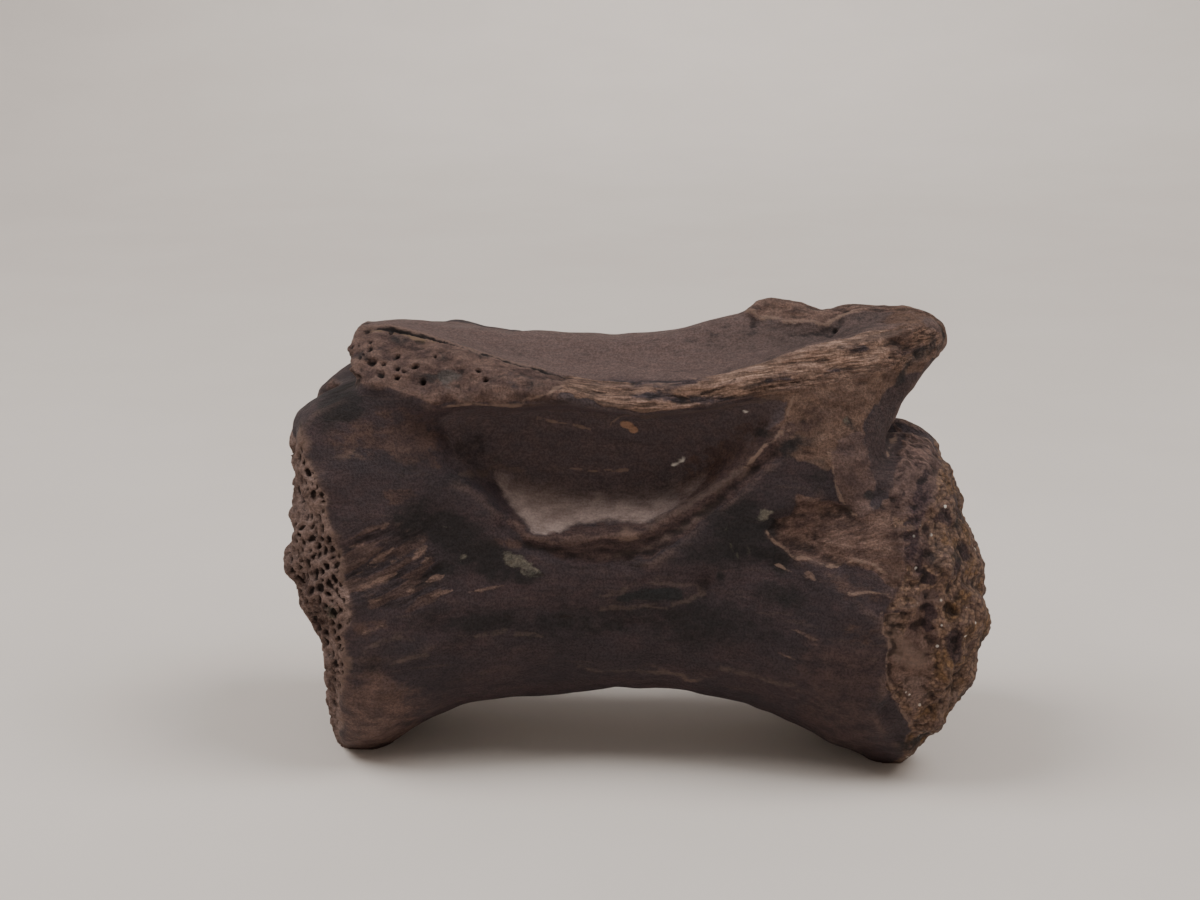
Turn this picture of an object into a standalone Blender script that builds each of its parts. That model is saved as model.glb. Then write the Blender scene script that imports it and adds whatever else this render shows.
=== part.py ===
"""Fossil dinosaur tail vertebra, one worn piece of bone that stands on the lower rims of its two ends.

Metres, +Z up, and the ground is z = 0. X runs along the backbone: the front end is at -X, and the rear
process overhangs at +X. Tables are in millimetres. The damage on the -Y side is set out in full; the +Y
side has the same anatomy with its own wear. The origin is under the middle of its box.
"""

import math
import random

import bmesh
import bpy
import numpy as np
from mathutils import Vector, noise

MM = 0.001
SEED = 41

# Driving dimensions of the canal, and how much of the lowest rims is worn off flat.
CANAL_HALF_WIDTH = 3.9
CANAL_HALF_HEIGHT = 4.0
CANAL_MIDDLE = ((-60, 47.6), (-20, 48.4), (0, 48.8), (20, 49.4), (60, 50.6))
FOOT_WEAR = 0.8

BONE_COLOUR = (0.072, 0.044, 0.034, 1.0)
BONE_ROUGHNESS = 0.62

# How finely it is made.
RING_POINTS = 120
CANAL_RING_POINTS = 28
CENTRUM_STATIONS = 30
ARCH_STATIONS = 66
CUTTER_STATIONS = 41
SPLINE_STEPS = 12
UNION_VOXEL = 0.7
BLEND_PASSES = 5
GROUND_SNAP = 0.03
TRIANGLES = 8800

# The centrum, the spool below the neural canal: (x, value) stations along the backbone.
CENTRUM_BOTTOM = ((-42, -0.9), (-36, -0.8), (-31, 2.0), (-25, 5.2), (-14, 7.8), (1, 9.2),
                  (9, 8.7), (16.5, 6.7), (24, 4.3), (31, 1.1), (36, -0.5), (42, -0.5))
CENTRUM_TOP = ((-42, 46.5), (-34, 45.0), (-22, 40.0), (0, 37.0), (20, 41.0), (31, 46.4), (37, 47.8),
               (41, 46.8), (45, 44.6))
CENTRUM_HALF_WIDTH = ((-42, 20.4), (-36, 20.8), (-30, 19.6), (-22, 17.4), (-10, 15.6), (2, 15.3),
                      (12, 15.9), (22, 18.0), (30, 20.4), (36, 21.6), (42, 21.2))
CENTRUM_SQUARENESS = 2.3
KEEL_GROOVE_DEPTH, KEEL_GROOVE_WIDTH = 0.9, 4.5

# The worn end faces: how far the cortex edge and the crest inside it reach, from bottom (-1) to top (1).
FRONT_EDGE = ((-1, -42.4), (-0.6, -38.6), (-0.2, -38.6), (0.3, -40.6), (0.7, -42.8), (1, -44.0))
FRONT_CREST = ((-1, -44.4), (-0.8, -42.6), (-0.46, -42.6), (-0.2, -43.3), (0.13, -46.4), (0.4, -47.2),
               (0.8, -48.2), (1, -48.0))
REAR_EDGE = ((-1, 38.8), (-0.6, 39.8), (0, 39.4), (0.5, 38.8), (1, 41.0))
REAR_CREST = ((-1, 43.4), (-0.8, 45.6), (-0.45, 47.7), (-0.1, 49.3), (0.25, 49.3), (0.5, 48.9), (0.8, 47.8),
              (1, 46.2))
CENTRE_HEIGHT = 23.0
END_SHARES = (0.06, 0.22, 0.38, 0.52, 0.64, 0.74, 0.83, 0.91, 0.97)
CREST_SHARE = 0.64
CREST_FULLNESS = 0.85
DISH_DEPTH = 3.0

# The lines that run along the flank and the neural arch above it: (x, distance out from the middle, height).
# Shelf edge and root bound the floor of the hollow, undercut is its ceiling, lip and brow bound the ridge.
SHELF_EDGE = ((-42, 19.0, 40.0), (-34, 18.5, 41.0), (-28, 17.3, 42.9), (-24, 16.1, 43.2),
              (-20.6, 15.8, 41.8), (-16.8, 15.6, 37.6), (-13.8, 15.6, 35.6), (-9.7, 15.7, 35.1),
              (-4.3, 15.7, 35.8), (1.1, 15.6, 36.0), (4, 15.4, 37.1), (9.2, 15.0, 40.3),
              (15.8, 14.6, 45.3), (21, 14.4, 48.6), (26, 14.4, 46.5), (31, 13.4, 45.0), (34, 11.4, 45.0),
              (37, 8.6, 46.0), (41.8, 5.0, 48.0))
SHELF_ROOT = ((-42, 18.2, 43.5), (-35, 17.6, 44.5), (-30, 16.2, 46.0), (-25.5, 13.9, 46.4),
              (-20.5, 10.4, 43.0), (-15, 8.6, 40.6), (-9, 8.0, 40.0), (0, 8.0, 40.0), (6, 8.3, 41.0),
              (11, 9.4, 43.8), (16, 11.6, 47.6), (21, 13.7, 50.8), (27, 13.2, 50.4), (31, 12.0, 49.6),
              (34, 10.2, 49.6), (37, 7.8, 50.0), (41.8, 4.6, 51.0))
UNDERCUT = ((-42, 16.8, 48.5), (-35, 16.2, 49.4), (-30, 14.4, 49.8), (-25, 11.8, 49.6),
            (-19.5, 9.4, 49.9), (-10, 8.4, 50.2), (0, 8.4, 49.8), (7, 8.8, 50.2), (12, 9.8, 51.4),
            (17, 11.6, 52.6), (22, 13.2, 53.4), (27, 12.4, 53.2), (31, 11.2, 53.0), (34, 9.6, 53.0),
            (37, 7.6, 53.6), (41.8, 4.4, 55.0))
LIP = ((-42, 13.6, 54.0), (-37, 14.4, 55.6), (-33, 14.8, 55.4), (-26.4, 15.0, 52.8), (-23.6, 15.3, 53.6),
       (-17.5, 15.8, 53.7), (-9.6, 16.2, 54.0), (-4.3, 16.2, 52.9), (1.1, 16.0, 52.6), (9.1, 15.4, 53.2),
       (15.8, 14.3, 54.6), (22, 13.2, 55.4), (29, 11.4, 56.4), (34, 9.6, 57.0), (37, 7.8, 57.4),
       (40, 5.8, 57.8), (41.8, 4.2, 58.4))
BROW = ((-42, 5.0, 61.0), (-38, 5.2, 61.9), (-34, 5.8, 62.4), (-28, 8.0, 61.6), (-22, 10.6, 60.2),
        (-16, 12.6, 58.4), (-10, 13.8, 56.8), (-4, 14.4, 56.2), (2, 14.6, 56.0), (9, 14.0, 56.9),
        (15.6, 12.8, 58.8), (22, 11.2, 60.4), (28.6, 9.0, 61.9), (34, 7.0, 63.2), (38, 5.8, 63.6),
        (40.4, 4.8, 63.3), (42, 3.8, 62.6), (43.6, 2.6, 61.4))
CREST = ((-42, 60.6), (-38, 61.5), (-33.6, 61.9), (-28, 61.5), (-22, 60.8), (-16.7, 60.2), (-11, 59.9),
         (-5.4, 59.9), (0.2, 60.1), (5.7, 60.8), (8.5, 61.5), (14, 63.1), (17, 64.1), (21, 64.7),
         (24, 64.4), (27, 63.2), (29.5, 64.4), (33, 64.9), (38, 65.0), (40.4, 64.5), (42, 63.6),
         (43.6, 61.8))
TROUGH = ((-42, 0.3), (-30, 0.5), (-10, 0.7), (4, 0.8), (13, 1.6), (22, 2.2), (28, 1.6), (35, 0.5),
          (41.8, 0.0))
FAR_SIDE_DROP = ((-42, 1.9), (-30, 1.6), (-15, 0.7), (5, 0.5), (20, 1.2), (35, 0.8), (41.8, 0.0))
FAR_SIDE_SHIFT = 1.8
FLANK_FLARE = 5.0
FLANK_HEIGHTS = (16.0, 19.0, 25.0, 32.0)
ARCH_X = (-51.0, 44.0)

# The arch's front and rear outlines from the side, (x, z), and how they bend across the bone.
FRONT_PROFILE = ((-34, 8), (-36, 22), (-40, 30), (-45.4, 36), (-47.8, 41.6), (-48.4, 44.8), (-47.8, 47.6),
                 (-46.9, 50.2), (-44.1, 52.6), (-41.2, 54.0), (-38.8, 54.8), (-38.1, 55.8), (-38.6, 57.0),
                 (-39.0, 58.6), (-38.4, 60.6), (-38.2, 62.0), (-38.0, 70))
REAR_PROFILE = ((30.0, 8), (32.0, 28), (33.4, 36), (34.0, 41), (34.9, 45), (36.6, 48.6), (39.1, 52.2),
                (41.6, 54.8), (43.1, 57.0), (43.5, 59.2), (43.5, 61.2), (43.1, 63.2), (42.0, 65.0),
                (40.0, 66.6), (39.6, 70))
FRONT_ROUNDING, FRONT_DISH = 4.6, 2.6
REAR_ROUNDING, REAR_DISH = 2.0, 4.6
DISH_HALF_WIDTH = 6.0
KNOB_ROUNDING = 0.09
KNOB_FROM = (55.0, 58.5)
ARCH_HALF_WIDTH = 19.0
CUTTER_HALF_WIDTH = 25.0
CUTTER_REACH = 60.0

# Broken and flaked places on the sides, as outlines in (x, z) and how deep they go.
NEAR_HOLLOWS = (
    (((18.4, 36.9), (22.6, 40.5), (29.2, 41.3), (35, 43.0), (41, 45.0), (42, 24.0), (34.4, 24.6),
      (32.2, 28.8), (26.8, 32.2), (21.5, 34.6)), 0.8),
    (((34.6, 24.5), (34.1, 20.0), (35.2, 16.0), (34.3, 12.5), (36.6, 6.5), (43, 4.0), (43, 26.0)), 0.8),
)
FAR_HOLLOWS = (
    (((-43, 9.0), (-37, 8.0), (-31.5, 13.0), (-29.0, 22.0), (-33.0, 29.0), (-43, 31.0)), 0.9),
    (((24.0, 33.0), (33.0, 30.0), (42.0, 27.0), (43.0, 40.0), (33.0, 41.0)), 0.7),
)
SCALE = ((27.6, 46.6), (31.0, 47.6), (34.4, 45.0), (34.0, 38.5), (30.6, 39.2), (28.6, 42.5))
SCALE_HEIGHT = 0.7
HOLLOW_EDGE, HOLLOW_RAGGED = 0.9, 0.8
BROKEN_BAND = ((-17.5, 37.0), (-14.6, 33.6), (-9.6, 31.5), (-4.2, 31.0), (1.2, 31.6), (5.8, 33.8),
               (9.8, 37.2), (15.8, 42.4), (21.5, 47.6), (19.5, 47.4), (15.2, 44.0), (9.0, 39.3),
               (4.0, 36.0), (1.0, 34.9), (-4.3, 34.7), (-9.7, 34.0), (-13.8, 34.5), (-16.6, 37.4))
BAND_DEPTH, BAND_RAGGED = 1.0, 0.5
DIMPLES = ((10.6, 28.6, 2.6, 0.8), (-27.0, 36.5, 3.2, 0.6), (-2.0, 24.0, 5.0, 0.4))
STREAK_DEPTH, STREAK_TILT, STREAK_GRAIN = 0.38, 25.0, (9, 9, 1.9)

# The ridge's splinters and pits, the crack along the brow, and the broken base of the spine.
SPLINTER_DEPTH, SPLINTER_GRAIN, SPLINTER_TOP = 0.75, (17, 1.7, 1.7), 0.25
RIDGE_GRAIN_DEPTH, RIDGE_GRAIN = 0.5, 2.6
CRACK_X, CRACK_DEPTH, CRACK_HALF_WIDTH = (-37.5, -7.0), 0.9, 0.8
SPINE_X, SPINE_HALF_WIDTH, SPINE_FLOOR = (13.5, 27.5), 5.0, 59.0
SPINE_LUMP, SPINE_GRAIN, SPINE_SINK = 1.0, (5, 2.2, 3), 0.35

# The worn ends' lumps and pits, and the gentle unevenness of the whole skin as (size, height).
END_TOP = 49.0
END_LUMP, END_LUMP_SIZE, END_SINK = 1.0, 6.0, 0.15
END_GRAIN, END_GRAIN_SIZE = 0.7, 2.6
PIT_COUNT, PIT_RADIUS, PIT_DEPTH = 46, (1.3, 2.3), (0.9, 1.7)
UNEVEN = ((11.0, 0.45), (4.5, 0.2))


def along(table, x):
    """The table's value or values at x, on a smooth curve that never overshoots its points."""
    rows = np.asarray(table, float)
    xs, values = rows[:, 0], rows[:, 1:]
    x = min(max(x, xs[0]), xs[-1])
    spans = np.diff(xs)
    rates = np.diff(values, axis=0) / spans[:, None]
    slopes = np.zeros_like(values)
    same_way = rates[:-1] * rates[1:] > 0
    total = np.where(same_way, rates[:-1] + rates[1:], 1)
    slopes[1:-1][same_way] = (2 * rates[:-1] * rates[1:] / total)[same_way]
    slopes[0], slopes[-1] = rates[0], rates[-1]
    i = min(int(np.searchsorted(xs, x, side="right")) - 1, len(xs) - 2)
    t = (x - xs[i]) / spans[i]
    rise = t * t * (3 - 2 * t)
    found = (values[i] * (1 - rise) + values[i + 1] * rise
             + spans[i] * (slopes[i] * t * (1 - t) ** 2 - slopes[i + 1] * t * t * (1 - t)))
    return float(found[0]) if len(found) == 1 else found


def smoothstep(low, high, value):
    t = np.clip((value - low) / (high - low), 0.0, 1.0)
    return t * t * (3 - 2 * t)


def closed_spline(points, count):
    """Evenly spread points on a closed Catmull-Rom curve through the given (y, z) points."""
    dense = []
    for i in range(len(points)):
        p0, p1, p2, p3 = (Vector(points[(i + k) % len(points)]) for k in (-1, 0, 1, 2))
        for step in range(SPLINE_STEPS):
            t = step / SPLINE_STEPS
            dense.append(0.5 * (2 * p1 + (p2 - p0) * t + (2 * p0 - 5 * p1 + 4 * p2 - p3) * t ** 2
                                + (3 * p1 - p0 - 3 * p2 + p3) * t ** 3))
    dense.append(dense[0])
    lengths = np.concatenate([[0.0], np.cumsum([(b - a).length for a, b in zip(dense, dense[1:])])])
    wanted = np.linspace(0, lengths[-1], count, endpoint=False)
    return list(zip(*(np.interp(wanted, lengths, [p[k] for p in dense]) for k in (0, 1))))


def loft(name, rings):
    """A closed solid through rings of points in millimetres, with its ends filled."""
    bm = bmesh.new()
    loops = []
    for ring in rings:
        verts = [bm.verts.new(Vector(point) * MM) for point in ring]
        loops.append([bm.edges.new((a, b)) for a, b in zip(verts, verts[1:] + verts[:1])])
    for loop in (loops[0], loops[-1]):
        bmesh.ops.contextual_create(bm, geom=loop)
    for first, second in zip(loops, loops[1:]):
        bmesh.ops.bridge_loops(bm, edges=first + second)
    bmesh.ops.triangulate(bm, faces=[face for face in bm.faces if len(face.verts) > 4])
    bmesh.ops.recalc_face_normals(bm, faces=bm.faces)
    mesh = bpy.data.meshes.new(name)
    bm.to_mesh(mesh)
    bm.free()
    obj = bpy.data.objects.new(name, mesh)
    bpy.context.scene.collection.objects.link(obj)
    return obj


def baked(obj, name):
    """A new object with the modifiers' result, in place of the old one."""
    graph = bpy.context.evaluated_depsgraph_get()
    mesh = bpy.data.meshes.new_from_object(obj.evaluated_get(graph))
    mesh.name = name
    bpy.data.objects.remove(obj)
    made = bpy.data.objects.new(name, mesh)
    bpy.context.scene.collection.objects.link(made)
    return made


def centrum():
    """The spool: its body between the cortex edges, then each worn end over its crest into its dish."""

    def ring(x_of_height, share):
        points = []
        for i in range(RING_POINTS):
            angle = 2 * math.pi * i / RING_POINTS
            height = math.sin(angle)
            x = x_of_height(height)
            bottom, top = along(CENTRUM_BOTTOM, x), along(CENTRUM_TOP, x)
            half_width = along(CENTRUM_HALF_WIDTH, x)
            power = CENTRUM_SQUARENESS
            reach = (abs(math.cos(angle)) ** power + abs(height) ** power) ** (-1 / power)
            y = half_width * share * reach * math.cos(angle)
            z = (bottom + top) / 2 + (top - bottom) / 2 * share * reach * height
            if height < 0:
                z += KEEL_GROOVE_DEPTH * math.exp(-(y / KEEL_GROOVE_WIDTH) ** 2) * share
            points.append((x, y, z))
        return points

    def end_rings(edge, crest):
        inward = 1 if edge[0][1] < 0 else -1
        rings = []
        for share in END_SHARES:
            def place(height, share=share):
                near, far = along(edge, height), along(crest, height)
                if share <= CREST_SHARE:
                    return far + inward * DISH_DEPTH * float(smoothstep(CREST_SHARE, 0.1, share))
                out = (1 - share) / (1 - CREST_SHARE)
                return near + (far - near) * math.sin(out * math.pi / 2) ** CREST_FULLNESS
            rings.append(ring(place, share))
        return rings

    body = []
    for i in range(CENTRUM_STATIONS):
        part = i / (CENTRUM_STATIONS - 1)
        body.append(ring(lambda h: along(FRONT_EDGE, h) * (1 - part) + along(REAR_EDGE, h) * part, 1.0))
    front = end_rings(FRONT_EDGE, FRONT_CREST)
    rear = end_rings(REAR_EDGE, REAR_CREST)
    return loft("centrum", front + body + rear[::-1])


def between(a, b, share, raised=0.0):
    """The (out, z) point a share of the way from a to b, raised by an amount."""
    return (a[0] + (b[0] - a[0]) * share, a[1] + (b[1] - a[1]) * share + raised)


def arch_half(x, far):
    """One side of the arch's outline at a station, from the bottom up to the roof's crest, as (out, z)."""
    at = x + FAR_SIDE_SHIFT * far
    drop = along(FAR_SIDE_DROP, x) * far
    edge, root, under, lip = (along(table, at) for table in (SHELF_EDGE, SHELF_ROOT, UNDERCUT, LIP))
    brow = along(BROW, x) - (0, drop)
    crest = (0.0, along(CREST, x))
    flank = min(along(CENTRUM_HALF_WIDTH, x), edge[0] + FLANK_FLARE)
    low, lower, middle, upper = FLANK_HEIGHTS
    return [
        (flank * 0.45, low),
        (flank * 0.92, lower),
        (flank - 0.2, middle),
        ((flank + edge[0]) / 2, min(edge[1] - 4.5, upper)),
        (edge[0] + 0.1, edge[1] - 1.3),
        (edge[0] - 0.3, edge[1]),
        between(edge, root, 0.5, -0.2),
        tuple(root),
        (between(root, under, 0.5)[0] - 0.2, between(root, under, 0.5)[1]),
        tuple(under),
        between(under, lip, 0.5, 0.4),
        (lip[0] - 0.3, lip[1] - 0.3),
        (lip[0], lip[1] + 0.6 - drop * 0.3),
        between(lip, brow, 0.48, 0.5),
        (brow[0] + 0.4, brow[1] - 0.2),
        (brow[0] - 0.7, brow[1] - 0.1),
        between(brow, crest, 0.5, -along(TROUGH, x)),
        (brow[0] * 0.17, crest[1] - 0.2),
    ]


def profile_cutter(name, profile, rounding, dish, knob=0.0):
    """A block that trims the arch to its side outline, rounded at the flanks and hollow about the canal."""
    away = 1 if profile[-1][0] > 0 else -1
    rings = []
    for y in np.linspace(-CUTTER_HALF_WIDTH, CUTTER_HALF_WIDTH, CUTTER_STATIONS):
        bend = rounding * (y / ARCH_HALF_WIDTH) ** 2 + dish * math.exp(-(y / DISH_HALF_WIDTH) ** 2)
        ring = []
        for x, z in profile:
            high = float(smoothstep(*KNOB_FROM, z))
            ring.append((x - away * (bend * (1 - high) + knob * y * y * high), y, z))
        ring += [(away * CUTTER_REACH, y, profile[-1][1]), (away * CUTTER_REACH, y, profile[0][1])]
        rings.append(ring)
    return loft(name, rings)


def cut(obj, cutter):
    """The object less the cutter, which is removed."""
    name = obj.name
    difference = obj.modifiers.new("cut", "BOOLEAN")
    difference.operation = "DIFFERENCE"
    difference.solver = "EXACT"
    difference.object = cutter
    obj = baked(obj, name)
    bpy.data.objects.remove(cutter)
    return obj


def neural_arch():
    """The roof and walls over the canal, with the hollow under each broken ridge."""
    rings = []
    for i in range(ARCH_STATIONS):
        x = ARCH_X[0] + (ARCH_X[1] - ARCH_X[0]) * i / (ARCH_STATIONS - 1)
        near = [(-y, z) for y, z in arch_half(x, 0)]
        far = arch_half(x, 1)
        rings.append([(x, y, z) for y, z in closed_spline(near + far[::-1], RING_POINTS)])
    arch = loft("neural_arch", rings)
    arch = cut(arch, profile_cutter("front_cutter", FRONT_PROFILE, FRONT_ROUNDING, FRONT_DISH))
    return cut(arch, profile_cutter("rear_cutter", REAR_PROFILE, REAR_ROUNDING, REAR_DISH, KNOB_ROUNDING))


def canal_cutter():
    angles = [2 * math.pi * i / CANAL_RING_POINTS for i in range(CANAL_RING_POINTS)]
    return loft("canal_cutter", [
        [(x, CANAL_HALF_WIDTH * math.cos(a), middle + CANAL_HALF_HEIGHT * math.sin(a)) for a in angles]
        for x, middle in CANAL_MIDDLE])


def joined(pieces):
    """The pieces as one skin with soft blends where they meet, and the canal bored through it."""
    bm = bmesh.new()
    for piece in pieces:
        bm.from_mesh(piece.data)
    mesh = bpy.data.meshes.new("bone")
    bm.to_mesh(mesh)
    bm.free()
    for piece in pieces:
        bpy.data.objects.remove(piece)
    bone = bpy.data.objects.new("bone", mesh)
    bpy.context.scene.collection.objects.link(bone)
    union = bone.modifiers.new("union", "REMESH")
    union.mode = "VOXEL"
    union.voxel_size = UNION_VOXEL * MM
    blend = bone.modifiers.new("blend", "SMOOTH")
    blend.factor = 0.5
    blend.iterations = BLEND_PASSES
    return cut(baked(bone, "bone"), canal_cutter())


def noise_at(points, scale):
    """Smooth noise from about -1 to 1 at each point, with its lumps about `scale` millimetres across."""
    return np.array([noise.noise(Vector(point)) for point in points / np.asarray(scale, float)]) * 1.6


def depth_inside(polygon, x, z):
    """How far each point is inside the polygon, and negative outside."""
    corners = np.asarray(polygon, float)
    distance = np.full(len(x), np.inf)
    inside = np.zeros(len(x), bool)
    for a, b in zip(corners, np.roll(corners, -1, axis=0)):
        edge = b - a
        t = np.clip(((x - a[0]) * edge[0] + (z - a[1]) * edge[1]) / (edge @ edge), 0, 1)
        distance = np.minimum(distance, np.hypot(x - a[0] - t * edge[0], z - a[1] - t * edge[1]))
        crosses = (a[1] > z) != (b[1] > z)
        inside ^= crosses & (x < a[0] + (z - a[1]) * edge[0] / (edge[1] or 1e-9))
    return np.where(inside, distance, -distance)


def column(table, x, index=1):
    """One column of a table at each x, on straight lines between its points."""
    rows = np.asarray(table, float)
    return np.interp(x, rows[:, 0], rows[:, index])


def end_wear(points):
    """How much each point belongs to the worn front end and to the worn rear end."""
    height = (points[:, 2] - CENTRE_HEIGHT) / CENTRE_HEIGHT
    below_arch = points[:, 2] < END_TOP
    front = smoothstep(0.4, 2.4, column(FRONT_EDGE, height) - points[:, 0]) * below_arch
    rear = smoothstep(0.4, 2.4, points[:, 0] - column(REAR_EDGE, height)) * below_arch
    return front, rear


def side_wear(points, normals):
    """How far the damage on the two sides moves each point along its normal."""
    x, y, z = points.T
    move = np.zeros(len(points))
    near, far = (smoothstep(0.15, 0.4, side * normals[:, 1]) for side in (-1, 1))
    for hollows, facing in ((NEAR_HOLLOWS, near), (FAR_HOLLOWS, far)):
        for outline, depth in hollows:
            ragged = depth_inside(outline, x, z) + HOLLOW_RAGGED * noise_at(points, 3.0)
            move -= depth * smoothstep(0, HOLLOW_EDGE, ragged) * facing
    move += SCALE_HEIGHT * smoothstep(0, HOLLOW_EDGE, depth_inside(SCALE, x, z)) * near
    band = depth_inside(BROKEN_BAND, x, z) + BAND_RAGGED * noise_at(points, 2.5)
    move -= BAND_DEPTH * smoothstep(-0.4, 0.7, band) * near
    for at_x, at_z, radius, depth in DIMPLES:
        away = np.hypot(x - at_x, z - at_z) / radius
        move -= depth * np.exp(-2 * away ** 2) * (near + far)
    tilt = math.radians(STREAK_TILT)
    across, along_streak = z * math.cos(tilt) - x * math.sin(tilt), x * math.cos(tilt) + z * math.sin(tilt)
    turned = np.stack([along_streak, y, across], axis=1)
    front_flank = smoothstep(-18, -26, x) * smoothstep(12, 18, z) * smoothstep(42, 36, z) * (near + far)
    return move + STREAK_DEPTH * noise_at(turned, STREAK_GRAIN) * front_flank


def ridge_wear(points):
    """How far the splinters, the crack and the broken spine move each point along its normal."""
    x, y, z = points.T
    out = np.abs(y)
    lip, brow_out, brow = column(LIP, x, 2), column(BROW, x, 1), column(BROW, x, 2)
    on_ridge = smoothstep(lip - 0.6, lip + 0.6, z) * smoothstep(brow_out - 1.6, brow_out, out) * (x < 38)
    splintered, pitted = smoothstep(-26, -12, x), smoothstep(-14, -26, x)
    splinters = np.minimum(noise_at(points, SPLINTER_GRAIN), SPLINTER_TOP)
    move = SPLINTER_DEPTH * splinters * on_ridge * splintered
    move += RIDGE_GRAIN_DEPTH * noise_at(points, RIDGE_GRAIN) * on_ridge * pitted
    first, last = CRACK_X
    cracked = smoothstep(first, first + 2, x) * smoothstep(last, last - 8, x) * (z > brow - 3) * (y < 0)
    move -= CRACK_DEPTH * np.exp(-((out - brow_out) / CRACK_HALF_WIDTH) ** 2) * cracked
    first, last = SPINE_X
    spine = smoothstep(first, first + 3, x) * smoothstep(last, last - 2.5, x)
    spine = spine * smoothstep(SPINE_HALF_WIDTH, SPINE_HALF_WIDTH - 2, out) * (z > SPINE_FLOOR)
    return move + SPINE_LUMP * (noise_at(points, SPINE_GRAIN) - SPINE_SINK) * spine


def pits(points, front):
    """How far round pits in the worn front end sink each point."""
    rng = random.Random(SEED)
    worn = [i for i, wear in enumerate(front) if wear > 0.8]
    sunk = np.zeros(len(points))
    for i in rng.sample(worn, PIT_COUNT):
        away = np.linalg.norm(points - points[i], axis=1) / rng.uniform(*PIT_RADIUS)
        sunk += rng.uniform(*PIT_DEPTH) * np.exp(-2.2 * away ** 2)
    return sunk


def weathered(bone):
    """Moves the skin for the lumps, pits, splinters and broken places that a long-buried bone has."""
    count = len(bone.data.vertices)
    points, normals = np.empty(count * 3), np.empty(count * 3)
    bone.data.vertices.foreach_get("co", points)
    bone.data.vertex_normals.foreach_get("vector", normals)
    points, normals = points.reshape(-1, 3) / MM, normals.reshape(-1, 3)
    front, rear = end_wear(points)
    lumps = END_LUMP * (noise_at(points, END_LUMP_SIZE) - END_SINK)
    lumps += END_GRAIN * noise_at(points, END_GRAIN_SIZE)
    move = side_wear(points, normals) + ridge_wear(points)
    move += lumps * np.maximum(front, rear) - pits(points, front)
    for size, height in UNEVEN:
        move += height * noise_at(points, size)
    from_canal = np.hypot(points[:, 1], points[:, 2] - column(CANAL_MIDDLE, points[:, 0]))
    move[from_canal < CANAL_HALF_WIDTH + 0.6] = 0.0
    bone.data.vertices.foreach_set("co", ((points + normals * move[:, None]) * MM).ravel())
    bone.data.update()


def thinned(bone):
    """The skin in fewer triangles, worn flat where the rims stand on the ground, with its box centred."""
    thin = bone.modifiers.new("thin", "DECIMATE")
    thin.ratio = TRIANGLES / sum(len(p.vertices) - 2 for p in bone.data.polygons)
    bone = baked(bone, "vertebra")
    bm = bmesh.new()
    bm.from_mesh(bone.data)
    ground = min(vert.co.z for vert in bm.verts) + FOOT_WEAR * MM
    bmesh.ops.bisect_plane(bm, geom=bm.verts[:] + bm.edges[:] + bm.faces[:], dist=GROUND_SNAP * MM,
                           plane_co=(0, 0, ground), plane_no=(0, 0, 1), clear_inner=True)
    for vert in bm.verts:
        if abs(vert.co.z - ground) < GROUND_SNAP * MM:
            vert.co.z = ground
    bmesh.ops.holes_fill(bm, edges=[edge for edge in bm.edges if edge.is_boundary], sides=0)
    bmesh.ops.triangulate(bm, faces=bm.faces[:])
    bmesh.ops.recalc_face_normals(bm, faces=bm.faces)
    xs, ys = ([vert.co[k] for vert in bm.verts] for k in (0, 1))
    middle = Vector(((min(xs) + max(xs)) / 2, (min(ys) + max(ys)) / 2, ground))
    bmesh.ops.translate(bm, verts=bm.verts, vec=-middle)
    bm.to_mesh(bone.data)
    bm.free()
    return bone


def bone_material():
    material = bpy.data.materials.new("fossil_bone")
    material.use_nodes = True
    shader = material.node_tree.nodes["Principled BSDF"]
    shader.inputs["Base Color"].default_value = BONE_COLOUR
    shader.inputs["Roughness"].default_value = BONE_ROUGHNESS
    shader.inputs["Metallic"].default_value = 0.0
    return material


def main():
    for obj in list(bpy.data.objects):
        bpy.data.objects.remove(obj)
    bone = joined([centrum(), neural_arch()])
    weathered(bone)
    bone = thinned(bone)
    bone.data.materials.append(bone_material())


main()
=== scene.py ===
"""Looks of a fossil dinosaur tail vertebra: its weathered skin, stains, spongy ends and broken edges.

Lengths in the tables are in millimetres, in the part's own frame. X runs along the backbone with the
front end at -X, +Z is up, and the side that faces -Y carries most of the breaks.
"""

import math
import random

import bmesh
import bpy
import numpy as np
from mathutils import Matrix, Vector, noise
from mathutils.bvhtree import BVHTree


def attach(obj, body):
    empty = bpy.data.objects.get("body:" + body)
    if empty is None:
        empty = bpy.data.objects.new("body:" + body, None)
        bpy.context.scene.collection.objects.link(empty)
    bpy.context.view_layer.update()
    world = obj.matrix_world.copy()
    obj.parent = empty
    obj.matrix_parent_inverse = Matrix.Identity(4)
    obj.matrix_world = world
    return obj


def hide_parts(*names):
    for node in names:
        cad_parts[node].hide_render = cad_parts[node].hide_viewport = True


MM = 0.001
SEED = 7
NOISE_GAIN = 1.6

# How finely the skin is made.
WELD = 0.001
ROUNDING_LEVELS = 2
SKIN_VOXEL = 0.32
SOFTEN_PASSES = 5
MOST_TRIANGLES = 192000
FOOT_REACH = 0.35
FILL_PASSES, MOST_FILL = 30, 1
EDGE_PASSES, EDGE_HEIGHT = 9, 0.16

# The open cells of the front end's net, and the crystals of the rear end.
NET_CELL, NET_DEPTH = (1.15, 1.15, 1.5), 0.75
CRYSTAL_SIZE = 0.9

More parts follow.
